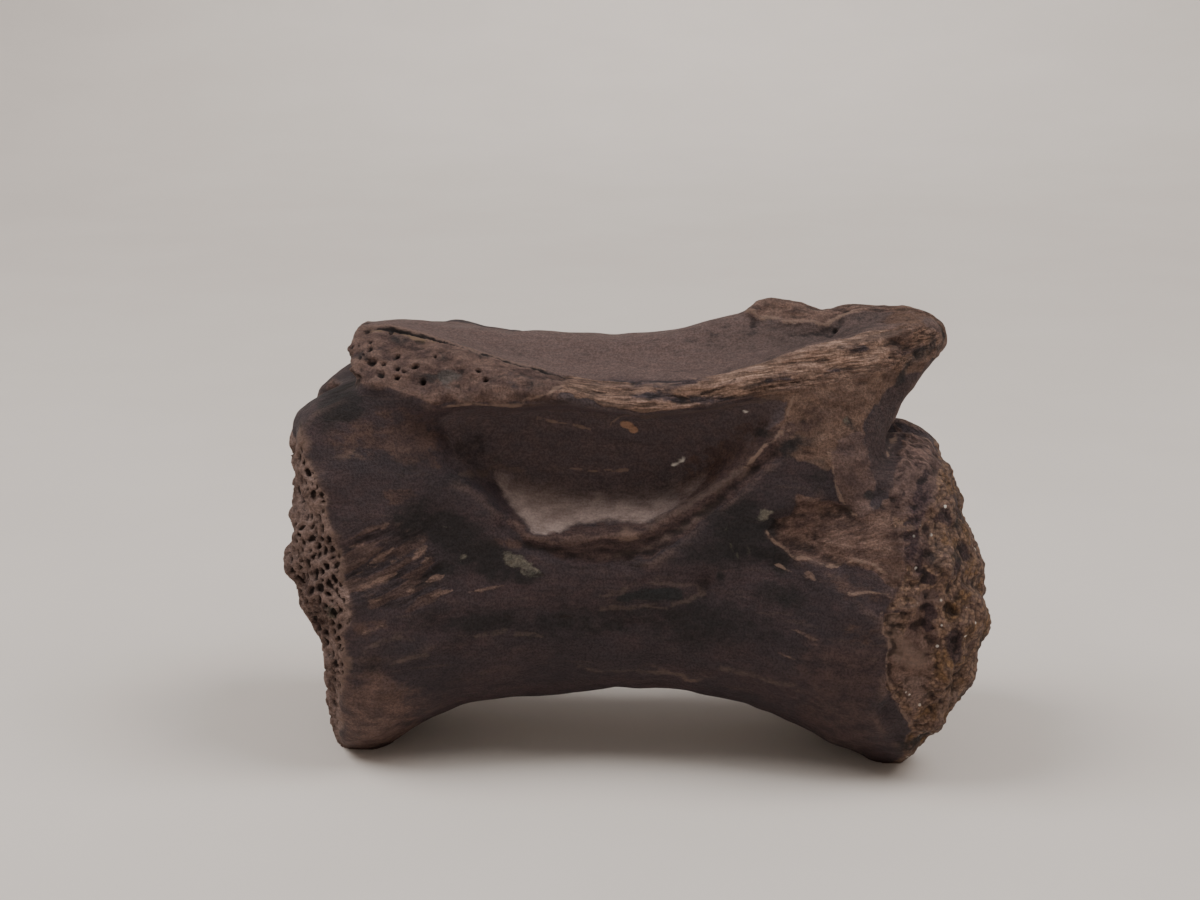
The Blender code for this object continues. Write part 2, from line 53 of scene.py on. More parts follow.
# Where the worn ends begin, (height, x), on either end of the spool, and how high they reach.
FRONT_CORTEX = (
    (0, -41.4), (8.3, -41.1), (13.3, -39.8), (18.7, -39), (23.3, -38.6), (27.5, -38.7), (32.2, -39.4),
    (35, -40.3), (39.1, -40.8), (43.1, -42), (46.2, -43.4), (49.5, -45.4))
REAR_CORTEX = (
    (0, 37), (7.5, 37.5), (11.5, 38.5), (15.3, 40.3), (21.2, 40.7), (25.5, 41), (31.7, 40.5), (35.9, 39.6),
    (40.7, 39.9), (43.3, 41.9), (48, 43))
END_TOP = 49

# The ridge along the edge of the roof: (x, distance out, height) of its upper and lower lines.
BROW = (
    (-42, 5, 61), (-38, 5.2, 61.9), (-34, 5.8, 62.4), (-28, 7.8, 61.7), (-22, 9.8, 60.5),
    (-16, 11.2, 58.9), (-10, 12, 57.4), (-4, 12.5, 56.8), (2, 13.2, 56.5), (9, 13, 57.3), (15.6, 12.2, 59),
    (22, 11.2, 60.4), (28.6, 9, 61.9), (34, 7, 63.2), (38, 5.8, 63.6), (43.6, 2.6, 61.4))
LIP = (
    (-42, 13.6, 54), (-37, 14.4, 55.6), (-33, 14.8, 55.4), (-26.4, 15, 52.8), (-23.6, 15.3, 53.6),
    (-17.5, 15.8, 53.7), (-9.6, 16.2, 54), (-4.3, 16.2, 52.9), (1.1, 16, 52.6), (9.1, 15.4, 53.2),
    (15.8, 14.3, 54.6), (22, 13.2, 55.4), (29, 11.4, 56.4), (34, 9.6, 57), (40, 5.8, 57.8), (43.6, 4, 58.4))

# How far a step outwards and a step down each lead out over the ridge.
BROW_SLOPE = (0.94, 0.33)

# The open pores of the broken face below the crack: (x, height, radius).
PORES = (
    (-36.2, 59.3, 0.26), (-35.6, 58, 0.4), (-33.9, 57.7, 0.25), (-34.1, 56.7, 0.32), (-32.1, 57.3, 0.21),
    (-31.9, 56.4, 0.25), (-29.7, 57.6, 0.3), (-28.6, 55.6, 0.23), (-37.2, 60.9, 0.21), (-33.8, 61, 0.19),
    (-20.9, 57.4, 0.18), (-19.8, 56.3, 0.25), (-27, 58.4, 0.16), (-32.4, 58.6, 0.18), (-37.4, 56.2, 0.26))
SMALL_PORES, SMALL_PORE_RADIUS = 16, (0.12, 0.19)

# Places on the near side, as outlines in (x, height).
WALL = (
    (-26.5, 50.5), (-24.5, 43.5), (-19.5, 40.6), (-10, 39.4), (0, 39.4), (6, 40.8), (11, 43.6), (16, 47.2),
    (20.3, 50.6), (21.4, 54.2), (15, 53.6), (9, 52.8), (1, 52.2), (-4, 53.4), (-9.2, 55.2), (-16.5, 53.2),
    (-23, 52.4))
SHELF = (
    (-18.9, 40.6), (-17.8, 39), (-15.6, 37), (-13.6, 35.2), (-11.6, 35), (-9.4, 35.6), (-8, 36),
    (-4.6, 36.6), (0.9, 36.5), (3.6, 37.4), (6.2, 39.2), (8.8, 41), (10.2, 43), (7, 43.4), (2, 42.2),
    (-4.9, 41.6), (-10.4, 41.8), (-15.9, 42.4), (-19.6, 42.2))
SHELF_TOP = (
    (-20, 43), (-18.9, 42), (-15.9, 40.4), (-10.4, 39.4), (-4.9, 39.1), (2, 39.5), (6.1, 41.2),
    (8.4, 42.2), (10, 43.4))
SHELF_RIM = (
    (-21.5, 42.6), (-17.8, 39), (-15.6, 37), (-13.6, 35.2), (-11.6, 35), (-9.4, 35.6), (-4.6, 36.6),
    (0.9, 36.5), (3.6, 37.4), (6.2, 39.2), (9.4, 41.2), (13.6, 43.8), (17.6, 46.9))
BAND = (
    (-17.5, 37), (-14.6, 33.8), (-9.6, 31.7), (-4.2, 31.2), (1.2, 31.8), (5.8, 34.2), (9.8, 37.6),
    (15.8, 42.8), (21.5, 47.8), (20.3, 48.6), (15.2, 45.2), (9, 41), (4, 37.6), (1, 36.5), (-4.3, 36.4),
    (-9.7, 35.5), (-13.4, 34.9), (-16.6, 37.6))
REAR_RIM = (
    (6, 38.2), (12.4, 42), (18.4, 46.2), (21.6, 49.6), (20.8, 51), (17, 48.8), (11.4, 44.6), (5.6, 40.8))
TONGUE = (
    (17.9, 36.1), (19.3, 34.2), (22, 32.8), (25.8, 32.3), (29.4, 32.6), (32.4, 32.2), (33.6, 30.6),
    (35.3, 29.6), (38.5, 29), (40.5, 42), (34.6, 41.4), (33.1, 40.2), (30.4, 38.6), (28.6, 39.2),
    (26.4, 40.5), (23.7, 40.9), (21.3, 41.1), (22, 40), (21.4, 38.5), (19, 37.6))
TONGUE_RIM = TONGUE[:5]
FLAKED = (
    (33.4, 26.8), (33.9, 23.7), (34.9, 21.8), (34.1, 19.7), (34.4, 17.2), (35.3, 14.3), (36.7, 12.2),
    (38.6, 9.5), (44, 8), (44, 27.2), (38.7, 27.6), (35.8, 26.6))
FLAKE_RIM = FLAKED[:8]
SMOOTH_FLAKE = ((36.1, 17.8), (39.5, 17), (40.3, 13.8), (38.4, 12.4), (36.4, 14.7))
RIM_BREAK = (
    (33.8, 27), (35.3, 29.4), (36.4, 33), (34.6, 37), (34.2, 41.4), (35.4, 45.2), (37, 46.8), (40, 46.4),
    (43.5, 45.6), (44, 27))
SCALE = (
    (26, 46.8), (27, 43.2), (28, 40.4), (29.4, 38.6), (31, 38.2), (32, 39.6), (32.4, 43), (31.4, 46.6),
    (30.4, 49.6), (28.2, 48.6))
SCALE_RIM = SCALE[:5]
PROCESS_SIDE = (
    (15, 54.6), (18.1, 53.9), (20.8, 53.4), (19.6, 50.8), (17.4, 48.6), (18.8, 47.4), (22.3, 45.8),
    (26, 44.5), (28.3, 46.5), (30.6, 44.4), (30.8, 50.1), (32.7, 52.9), (35.4, 55.8), (39, 56.6),
    (41, 58.6), (34, 58.4), (29, 57.8), (22, 56.8), (15.8, 55.9))
STRIP = (
    (31.4, 46.2), (30.8, 50.1), (32.7, 52.9), (35, 55.4), (38.4, 56.2), (36.6, 50), (36, 45.8),
    (34.4, 41.6), (32.8, 41.3))
STREAK_FIELD = (
    (-40.2, 25), (-40.8, 33), (-39, 39), (-33, 39.5), (-27, 36.5), (-24.5, 32), (-23, 26.5), (-30, 23.5))
STREAK_TILT, REAR_TOP_TILT = 24, -38
LOWER_REAR = ((22.7, 22.4), (29.3, 22.6), (34.2, 26), (34.6, 8), (36, -1), (30, -1), (22, 8))
FRONT_FOOT = ((-42, 18), (-38.5, 16.5), (-34.1, 17), (-28.6, 12.8), (-31, 2), (-33, -1), (-42, -1))
OVAL_STAIN = (
    (-3.1, 26), (-0.8, 26.9), (2.3, 27.8), (4.7, 28.1), (7.1, 27.7), (8.4, 27), (6.7, 26.5), (3.3, 26.1),
    (-0.4, 25.6), (-2.4, 25.7))
AREAS = (
    ("wall", WALL), ("red", BAND), ("red", REAR_RIM), ("tan", TONGUE), ("tan", FLAKED), ("scale", RIM_BREAK),
    ("side", PROCESS_SIDE), ("scale", SCALE), ("strip", STRIP), ("smooth flake", SMOOTH_FLAKE),
    ("oval", OVAL_STAIN))

# Shallow hollows of the far side.
FAR_HOLLOWS = (
    ((-43, 9), (-37, 8), (-31.5, 13), (-29, 22), (-33, 29), (-43, 31)),
    ((24, 33), (33, 30), (42, 27), (43, 40), (33, 41)))

# Fine lines on the near side, in (x, height), by what they are marked with.
THIN_LINES = {
    "pale line": (
        TONGUE_RIM, FLAKE_RIM, SCALE_RIM,
        ((29.1, 28.9), (33.7, 29.2), (35.3, 28.2), (36.7, 27.1), (38.7, 27.9)),
        ((19.2, 31.4), (21.9, 30.9), (24.5, 30.3)), ((29.1, 33.2), (32.4, 32.7), (35.6, 31.2)),
        ((-13.5, 49.3), (-8.8, 48.9), (-6.3, 48.2)), ((-3.6, 48.8), (-1.9, 50), (0.2, 50.6)),
        ((20.9, 49.8), (17.6, 47.2), (15, 44.6)), ((21.4, 54.3), (20.2, 50.8), (19.5, 49.5), (18.8, 47.8)),
        ((-25.7, 52.6), (-19.8, 53.3), (-15.9, 53.2), (-12.9, 54.2), (-9.6, 55.8)),
        ((28.2, 61.2), (32, 62.3), (35.8, 63.1)), ((36.4, 46.8), (34.9, 46.5), (34.2, 45.5)),
        ((-9.5, 42.3), (-5.3, 42.2), (-1, 42.4))),
    "faint line": (
        ((15, 44.6), (13.6, 43.2), (11, 41)), ((6.2, 38.9), (10.2, 41), (13.6, 43.6)),
        ((0.5, 50.2), (7, 51.9), (14, 52.7), (20, 54.4)),
        ((2.2, 36.4), (5.6, 38), (8.2, 40.1), (12.4, 42.9)),
        ((-23.5, 43), (-20.9, 42.4), (-17, 42.3), (-9.5, 42.2)),
        ((-21.5, 20.9), (-17.9, 21.5), (-12.7, 20.7)), ((-8, 15.4), (0, 14.6), (8, 14.8)),
        ((-4.5, 24.4), (-2.5, 24.8), (4.4, 25.2), (9.8, 26.8)),
        ((-4.5, 26.3), (0.6, 28.2), (3.7, 28.9), (7.8, 28.4), (9.8, 27)),
        ((-4.5, 31.6), (-1.8, 32), (1.6, 33.3), (6.3, 35.8), (11, 39.3)), ((-36, 20), (-31.5, 21.8)),
        ((-33, 17.5), (-28, 19)), ((12, 16.2), (18, 15.4), (23, 14.2)), ((-30, 8), (-24, 9.6)),
        ((27.9, 60.5), (32, 61.5), (35.6, 62.3))),
    "dark line": (
        ((-40.3, 36.4), (-37.9, 37.3), (-32.6, 38.8)), ((-36.5, 40.2), (-30, 41.6)),
        ((-14, 29.6), (-9.9, 30.3), (-4.5, 30.6), (2.3, 31.1), (7.7, 31)), ((-44.4, 48.4), (-45.6, 50)),
        ((-24, 24.4), (-12, 23.4), (2, 23)), ((26.2, 60.5), (28, 60.6)),
        ((14.6, 55.2), (16.4, 55.9), (18.4, 56.6)), ((8.2, 54.6), (12, 55.7), (13.8, 56.6))),
    "green line": (
        ((13.5, 37.6), (12.8, 36.2), (12.8, 34.8), (13.5, 33.1), (14.6, 32)),
        ((15.7, 37.6), (15.1, 35.5), (15.8, 33.2))),
    "speck_and_glint": (((5, 43.1), (6.8, 44.1)),),
}
LINE_REACH = {"pale line": 1, "faint line": 1.3, "dark line": 1, "green line": 1, "speck_and_glint": 0.5}

# Splinters of paler bone that stand a little proud: (x and height of both ends, half width, paleness).
SPLINTERS = (
    (-35.8, 31.4, -31.4, 34.2, 0.5, 0.6), (-33.9, 36.4, -32.2, 37.5, 0.45, 0.5),
    (-29.8, 32.2, -27.2, 34.2, 0.6, 0.7), (-37.1, 28.2, -30.7, 30.6, 0.8, 0.5),
    (-27.9, 28.9, -25.1, 29.9, 0.46, 1), (-30.6, 27.7, -29, 28.1, 0.4, 0.8),
    (-27.1, 27.1, -24, 27.8, 0.4, 0.8), (-21.8, 27.4, -16.2, 28.4, 0.3, 0.6),
    (-28.6, 31.4, -27.3, 32.4, 0.4, 0.6), (-36.6, 22, -33.4, 23.4, 0.48, 0.4),
    (-38.5, 33.8, -34.6, 35, 0.36, 0.4), (-36.4, 26.2, -32.8, 27.2, 0.42, 0.4),
    (-37.6, 30.2, -34, 31.4, 0.3, 0.35), (-33, 31.6, -30.4, 32.6, 0.34, 0.5),
    (19.4, 19.8, 23.1, 18.9, 0.24, 0.5), (21.6, 23.3, 26.8, 21.8, 0.34, 0.2),
    (23.7, 21.9, 26.3, 21.4, 0.24, 0.1), (27.5, 24.4, 30.6, 22.9, 0.36, 0.1),
    (25.4, 35, 30.4, 34.6, 0.36, 0.7), (29.1, 33.4, 33, 32.6, 0.42, 0.9), (23.2, 30.9, 25, 30.4, 0.5, 0.7),
    (33.4, 35.2, 34.8, 34.8, 0.32, 0.8))

# Stains, chips and specks on the near side: (x, height, half length, half width, tilt, strength).
SPOTS = {
    "stain": (
        (-29.7, 37.5, 3.2, 2.3, 10, 0.8), (-24.6, 35.2, 4.6, 2.6, -20, 1),
        (-23.5, 42.4, 2.6, 1.9, 15, 0.55), (-22.4, 46, 2.6, 2, 60, 0.45), (-20, 31.8, 5.2, 2.3, -8, 1),
        (-25.5, 30.6, 3, 1.8, 20, 0.7), (-16.5, 29.2, 3.5, 1, 12, 0.8), (14.3, 35.8, 5.6, 4.4, 50, 0.9),
        (17, 36.4, 2.6, 2, 20, 1), (18.6, 32.8, 3.8, 1.3, -22, 1), (9, 33.4, 4, 2, 30, 0.6),
        (-6, 22.8, 13, 2.6, 2, 0.65), (9, 23, 10, 3.6, -4, 0.7), (-25.2, 14.2, 4.5, 2.6, 20, 0.3),
        (-20, 23, 6, 2.6, 4, 0.8), (20, 27.4, 4.5, 2.2, -12, 0.7), (-39.4, 52.2, 3.8, 2, 8, 1),
        (-42.4, 50.6, 2.4, 1.8, 40, 0.45), (-8.4, 54, 5.6, 1.1, 2, 0.35),
        (35.4, 10.6, 1.8, 0.9, -40, 0.25), (38.6, 6, 2.6, 1.6, 0, 0.8), (31.5, 41, 0.8, 0.6, 0, 0.9),
        (21.4, 48, 2.4, 1.3, 30, 0.9), (17.6, 48.9, 1.8, 1.3, 40, 0.6), (24.9, 43.8, 1.6, 3, 12, 0.55),
        (28.9, 50.4, 1.3, 0.8, 10, 0.7), (-35.5, 17.4, 1.6, 2, 0, 0.5), (32.9, 21, 0.5, 0.4, 0, 0.9),
        (11.3, 29.1, 0.7, 0.6, 0, 0.9), (39.9, 60.4, 1.3, 0.8, 70, 0.7), (38.4, 58.3, 1.9, 0.9, 60, 0.9),
        (36.4, 56.2, 1.7, 0.9, 50, 0.8), (-28, 24.2, 4, 1.6, 15, 0.5), (39.4, 41, 0.8, 1.2, 0, 0.9),
        (37.6, 37, 0.8, 1, 0, 0.8), (41, 33, 1.2, 2.6, 10, 0.6), (43.6, 37.4, 1.2, 2.4, 0, 0.6),
        (-30.5, 44.6, 3, 1.6, -20, 0.5)),
    "rust": (
        (-17.4, 34.2, 2.6, 0.8, -8, 1), (-33.3, 47.4, 1.6, 1.2, 40, 0.8), (-31.7, 41, 2.4, 1, -28, 0.9),
        (-36.7, 48.6, 4.8, 3.4, -20, 0.7), (-31.5, 51.2, 4, 1.8, -20, 0.5),
        (-29.8, 47.8, 3.8, 2.8, -20, 1), (-33.2, 12.3, 2.6, 1.6, 20, 0.6),
        (-35.6, 17.5, 1.8, 0.8, 10, 0.6), (12.6, 45.8, 6, 2, 38, 0.8), (16.6, 49, 3, 1.6, 40, 0.6),
        (21, 32.2, 3, 1.4, -15, 0.7), (29, 29.6, 4.5, 1.6, -12, 0.6), (30.5, 24, 3, 2, -20, 0.5),
        (24.5, 35.6, 4.4, 2.4, -10, 0.3), (34.4, 31.4, 1.8, 1.2, -20, 0.8), (40.5, 23.1, 1.1, 1.2, 0, 1),
        (36, 62, 2.4, 1.4, 0, 0.8), (24, 51.6, 2.4, 1.6, 30, 0.7), (-12, 53.6, 4, 0.8, -5, 0.6),
        (-36, 22.5, 3.4, 1.6, 24, 0.6), (21.6, 48.9, 1, 0.8, 40, 0.9)),
    "green": (
        (-15.3, 31.3, 2, 1.2, -40, 1), (-13.6, 30.4, 1.1, 0.8, -50, 1), (-16.2, 30.1, 1, 0.7, 20, 0.7),
        (17.3, 38.7, 1.3, 1, 0, 1), (-22.8, 32.1, 1.1, 0.8, 0, 0.7), (-40.4, 25.2, 1.2, 1.4, 0, 0.8),
        (28.6, 50.6, 0.9, 0.6, 0, 0.7), (-26.4, 36, 2.2, 1.2, 20, 0.35)),
    "purple": (
        (39.2, 41.4, 1.6, 1, 20, 1), (38, 39.6, 2, 1.5, 30, 1), (37.6, 36.6, 1.2, 0.7, 0, 1),
        (37.8, 34.2, 1.6, 1.6, 0, 0.8), (38.6, 31.6, 1.2, 1.8, 10, 0.7)),
    # Patches of painted shade.
    "pit_shade": ((-40.4, 53.4, 2.4, 1.4, 10, 0.5), (-24.8, 35, 3, 1.4, -20, 0.22)),
    "grey": (
        (-25.6, 56.4, 1.9, 1.1, 10, 1), (-18.6, 44.2, 1.6, 1, 20, 0.6), (-12, 57.2, 1.6, 0.7, -10, 0.6)),
    "pale": (
        (15.2, 44.4, 1.8, 0.8, 42, 0.45), (35.6, 22.8, 1.5, 3.4, 8, 0.9), (42.8, 12.4, 1.6, 1.8, 0, 0.8),
        (38.2, 20, 2, 2.6, 0, 0.6), (-44.8, 47.8, 1.6, 1.4, 40, 0.8), (6.5, 15, 5, 0.8, -6, 0.5),
        (-0.8, 35.2, 1.1, 0.7, 0, 1), (-38.5, 46.3, 3, 1, -12, 0.5)),
    "chip": ((-1.3, 48.9, 0.95, 0.62, -15, 1), (-0.3, 48.1, 0.62, 0.55, -30, 1)),
    # White specks, and a painted glint in the roof's small hole.
    "speck_and_glint": (
        (-8, 47.2, 0.42, 0.38, 0, 1), (-7.1, 45.1, 0.38, 0.34, 0, 0.9), (14.8, 51.6, 0.32, 0.3, 0, 1),
        (18, 56.4, 0.3, 0.26, 0, 0.8), (26.9, 62.2, 0.3, 0.26, 0, 0.8)),
}
PURPLE_STREAKS = (
    ((39.3, 42.7), (38.3, 40.2), (37.4, 38.3), (37, 36.3), (37.6, 34.4)),
    ((38.6, 33.6), (40.1, 29.5), (39.9, 24.8)))

# The broken base of the spine, on the roof: (x, y); and the small hole beside it, (x, y, radius).
SPINE_BASE = (
    (14, 0.6), (16.4, -1.8), (21, -3), (25.4, -2.9), (27.6, -1.4), (27.2, 1.6), (23, 3.2), (17, 3))
SPINE_EDGE = ((14.6, -0.6), (16.4, -1.9), (21, -3.1), (25.4, -3), (27.6, -1.9), (31, -1.6))
ROOF_HOLE = (26.9, -3.5, 0.32)

# The bone's shine, its fine bumps, the size of its crystal grains, and how much marks roughen it.
SPECULAR = 0.2
BUMP_STRENGTH, BUMP_DEPTH = 0.8, 0.13
GRAIN = 0.52
ROUGHER = (("tan", 0.12), ("spongy", 0.15), ("stain", 0.18), ("painted_sheen", -0.22))

# Tones of the bone.
UMBER = (0.0385, 0.027, 0.03, 1)
RED_BROWN = (0.051, 0.0315, 0.033, 1)
GREY_UMBER = (0.035, 0.03, 0.034, 1)
WISP = (0.078, 0.052, 0.045, 1)
DARK_WISP = (0.024, 0.0185, 0.0195, 1)
# Raised edges: wear and a painted highlight.
EDGE_TONE = (0.15, 0.095, 0.078, 1)
# Painted shade: darkens creases, pits, the open crack and the gaps between grains.
PAINTED_SHADE = (0.0095, 0.0065, 0.0065, 1)
# White of crystal grains and specks, and of painted glints.
CRYSTAL_AND_GLINT = (0.7, 0.65, 0.58, 1)
# What each mark tints the bone with: (mark, tone, other tone, what it drifts with, where it starts and is
# full, how much noise breaks its edge, strength).
TINTS = (
    ("roof", (0.122, 0.0785, 0.07), (0.09, 0.06, 0.055), "fibres", 0.35, 0.65, 0.2, 0.95),
    ("dull", (0.074, 0.051, 0.046), (0.06, 0.042, 0.0385), "fibres", 0.2, 1, 0.3, 0.6),
    ("warm", (0.072, 0.042, 0.038), (0.038, 0.0245, 0.025), "mottle", 0.2, 0.9, 0.6, 0.75),
    ("foot", (0.155, 0.092, 0.074), (0.086, 0.054, 0.048), "mottle", 0.2, 0.9, 0.7, 0.8),
    ("wall", (0.074, 0.0555, 0.059), (0.094, 0.066, 0.065), "mottle", 0.35, 0.75, 0.3, 0.85),
    ("tan", (0.142, 0.086, 0.067), (0.082, 0.048, 0.04), "mottle", 0.4, 0.6, 0.35, 0.95),
    ("ridge", (0.268, 0.17, 0.127), (0.145, 0.086, 0.063), "mottle", 0.4, 0.6, 0.35, 0.95),
    ("side", (0.15, 0.092, 0.068), (0.086, 0.05, 0.038), "mottle", 0.4, 0.6, 0.35, 0.95),
    ("face", (0.128, 0.077, 0.061), (0.064, 0.038, 0.034), "mottle", 0.4, 0.6, 0.35, 0.95),
    ("scale", (0.112, 0.069, 0.058), (0.064, 0.04, 0.037), "mottle", 0.4, 0.6, 0.3, 0.95),
    ("spine", (0.16, 0.096, 0.074), (0.07, 0.041, 0.034), "mottle", 0.4, 0.6, 0.3, 0.95),
    ("ochre", (0.215, 0.148, 0.088), (0.1, 0.062, 0.045), "speckle", 0.3, 0.75, 0.8, 0.85),
    ("knob", (0.135, 0.077, 0.053), (0.074, 0.042, 0.032), "mottle", 0.4, 0.7, 0.4, 0.9),
    ("grey", (0.085, 0.074, 0.068), (0.05, 0.044, 0.042), "mottle", 0.35, 0.75, 0.6, 0.8),
    ("fan", (0.08, 0.048, 0.04), (0.058, 0.034, 0.029), "mottle", 0.35, 0.6, 0.3, 0.8),
    ("strip", (0.042, 0.0285, 0.029), (0.056, 0.036, 0.0345), "fibres", 0.4, 0.7, 0.25, 0.85),
    ("red", (0.05, 0.03, 0.029), (0.072, 0.043, 0.038), "fibres", 0.4, 0.6, 0.3, 0.85),
    ("spongy", (0.235, 0.162, 0.138), (0.14, 0.095, 0.083), "mottle", 0.35, 0.6, 0.2, 0.95),
    ("granular", (0.22, 0.135, 0.091), (0.08, 0.048, 0.04), "grains", 0.35, 0.6, 0.2, 0.95),
    ("rust", (0.088, 0.0505, 0.04), (0.048, 0.029, 0.0265), "mottle", 0.3, 0.75, 1, 0.75),
    ("amber", (0.175, 0.096, 0.044), (0.095, 0.054, 0.033), "grains", 0.32, 0.75, 0.8, 0.8),
    ("stain", (0.016, 0.014, 0.0148), (0.0245, 0.0205, 0.0208), "mottle", 0.2, 0.8, 0.7, 0.9),
    ("green", (0.165, 0.145, 0.112), (0.06, 0.057, 0.048), "mottle", 0.4, 0.75, 0.8, 0.8),
    # Painted sheen where light falls on the up-facing shelf.
    ("painted_sheen", (0.27, 0.206, 0.184), (0.18, 0.131, 0.116), "mottle", 0.05, 1, 0.18, 0.96),
    ("smooth flake", (0.165, 0.11, 0.092), (0.125, 0.08, 0.066), "fibres", 0.35, 0.65, 0.3, 0.85),
    ("pale", (0.21, 0.142, 0.112), (0.12, 0.075, 0.06), "speckle", 0.25, 0.75, 0.6, 0.8),
    ("oval", (0.015, 0.016, 0.0175), (0.024, 0.024, 0.0245), "mottle", 0.4, 0.6, 0.3, 0.9),
    ("purple", (0.034, 0.0215, 0.0245), (0.05, 0.03, 0.031), "speckle", 0.35, 0.65, 0.3, 0.9),
    ("dark line", (0.014, 0.0095, 0.009), (0.022, 0.014, 0.0125), "speckle", 0.72, 0.95, 0.5, 0.8),
    ("faint line", (0.128, 0.09, 0.075), (0.09, 0.062, 0.053), "speckle", 0.55, 0.95, 0.7, 0.62),
    ("green line", (0.11, 0.1, 0.07), (0.06, 0.056, 0.042), "speckle", 0.65, 0.95, 0.5, 0.7),
    ("sliver", (0.185, 0.118, 0.093), (0.105, 0.064, 0.051), "fibres", 0.4, 0.75, 0.45, 0.9),
    ("pale line", (0.25, 0.17, 0.132), (0.15, 0.095, 0.072), "speckle", 0.74, 0.95, 0.5, 0.85),
    ("chip", (0.36, 0.205, 0.13), (0.23, 0.13, 0.085), "speckle", 0.35, 0.65, 0.2, 1),
)

# The camera, in degrees and millimetres.
CAMERA_TURN, CAMERA_RISE = 3.5, 15
CAMERA_AWAY, AIM_HEIGHT = 300, 33
AIM_ACROSS, AIM_DOWN = 5.42, 9.7
LENS, SENSOR = 63.1, 36

# Paper and light.
PAPER_ROUGHNESS = 0.9
PAPER = (0.7, 0.645, 0.6, 1)
PAPER_SHADE = (0.675, 0.62, 0.575, 1)
ROOM_COLOUR, ROOM_STRENGTH = (0.95, 0.97, 1, 1), 0.35
LAMP_COLOUR = (1, 0.985, 0.965)
# Lamps, in metres: (name, place, target, size, power, spread in degrees).
LAMPS = (
    ("left", (-0.46, -0.1, 0.76), (0, 0.03, 0.02), 0.55, 5.1, 180),
    ("right", (0.46, -0.1, 0.76), (0, 0.03, 0.02), 0.55, 5, 180),
    ("wall", (0, 0.8, 0.8), (0, 0.85, 0), 0.5, 0.75, 70))
# The studio floor, in metres: (distance from the middle, height).
FLOOR_PROFILE = (
    (0, 0), (0.55, 0), (0.7, 0.01), (0.85, 0.05), (0.98, 0.13), (1.06, 0.25), (1.1, 0.4), (1.1, 1.1))
FLOOR_STEPS = 96


def step(low, high, value):
    """Rises smoothly from 0 at low to 1 at high, or falls if low is the higher."""
    t = np.clip((value - low) / (high - low), 0, 1)
    return t * t * (3 - 2 * t)


def lumps(points, size, seed=0):
    """Smooth noise from about -1 to 1, in lumps about `size` across: one size, or one for each axis."""
    scaled = points / np.asarray(size, float) + seed
    return np.array([noise.noise(Vector(point)) for point in scaled.tolist()]) * NOISE_GAIN


def cells(points, size, seed=0):
    """Distances to the nearest and the second nearest of scattered seeds about `size` apart, in sizes."""
    scaled = points / np.asarray(size, float) + seed
    found = np.array([noise.voronoi(Vector(point))[0][:2] for point in scaled.tolist()])
    return found[:, 0], found[:, 1]


def column(table, at, index=1):
    """Reads a column of a table at places between its rows."""
    rows = np.array(table, float)
    return np.interp(at, rows[:, 0], rows[:, index])


def from_line(line, x, z):
    """Distance of each point from a line of straight pieces."""
    nearest = np.full(len(x), np.inf)
    for (ax, az), (bx, bz) in zip(line, line[1:]):
        dx, dz = bx - ax, bz - az
        t = np.clip(((x - ax) * dx + (z - az) * dz) / (dx * dx + dz * dz), 0, 1)
        nearest = np.minimum(nearest, np.hypot(x - ax - t * dx, z - az - t * dz))
    return nearest


def inside(outline, x, z):
    """How deep each point lies inside a closed outline, and less than nothing outside it."""
    within = np.zeros(len(x), bool)
    for (ax, az), (bx, bz) in zip(outline, outline[1:] + outline[:1]):
        crosses = (az > z) != (bz > z)
        within ^= crosses & (x < (bx - ax) * (z - az) / ((bz - az) or 1e-9) + ax)
    return np.where(within, 1, -1) * from_line(outline + outline[:1], x, z)


def spot(oval, x, z):
    """How far inside an oval from SPOTS each point lies, up to the oval's strength."""
    cx, cz, long, wide, tilt, strength = oval
    turn = math.radians(tilt)
    u = ((x - cx) * math.cos(turn) + (z - cz) * math.sin(turn)) / long
    v = ((z - cz) * math.cos(turn) - (x - cx) * math.sin(turn)) / wide
    return strength * np.clip(1.35 - 0.85 * np.hypot(u, v), 0, 1)


def placed(name, data):
    """A new object with this data, in the scene."""
    obj = bpy.data.objects.new(name, data)
    bpy.context.scene.collection.objects.link(obj)
    return obj


def fine_copy(node):
    """A copy of a CAD node's skin in many small faces, its facets rounded off, and the CAD skin itself."""
    mesh = node.data.copy()
    bm = bmesh.new()
    bm.from_mesh(mesh)
    bmesh.ops.remove_doubles(bm, verts=bm.verts, dist=WELD * MM)
    bm.to_mesh(mesh)
    surface = BVHTree.FromBMesh(bm)
    bm.free()
    bone = placed("vertebra_bone", mesh)
    rounded = bone.modifiers.new("rounded", "SUBSURF")
    rounded.levels = rounded.render_levels = ROUNDING_LEVELS
    skin = bone.modifiers.new("skin", "REMESH")
    skin.mode = "VOXEL"
    skin.voxel_size = SKIN_VOXEL * MM
    soft = bone.modifiers.new("soft", "SMOOTH")
    soft.factor, soft.iterations = 0.5, SOFTEN_PASSES
    return baked(bone), surface


def baked(obj):
    """The object with its modifiers made part of its mesh."""
    graph = bpy.context.evaluated_depsgraph_get()
    mesh = bpy.data.meshes.new_from_object(obj.evaluated_get(graph))
    obj.modifiers.clear()
    obj.data = mesh
    return obj


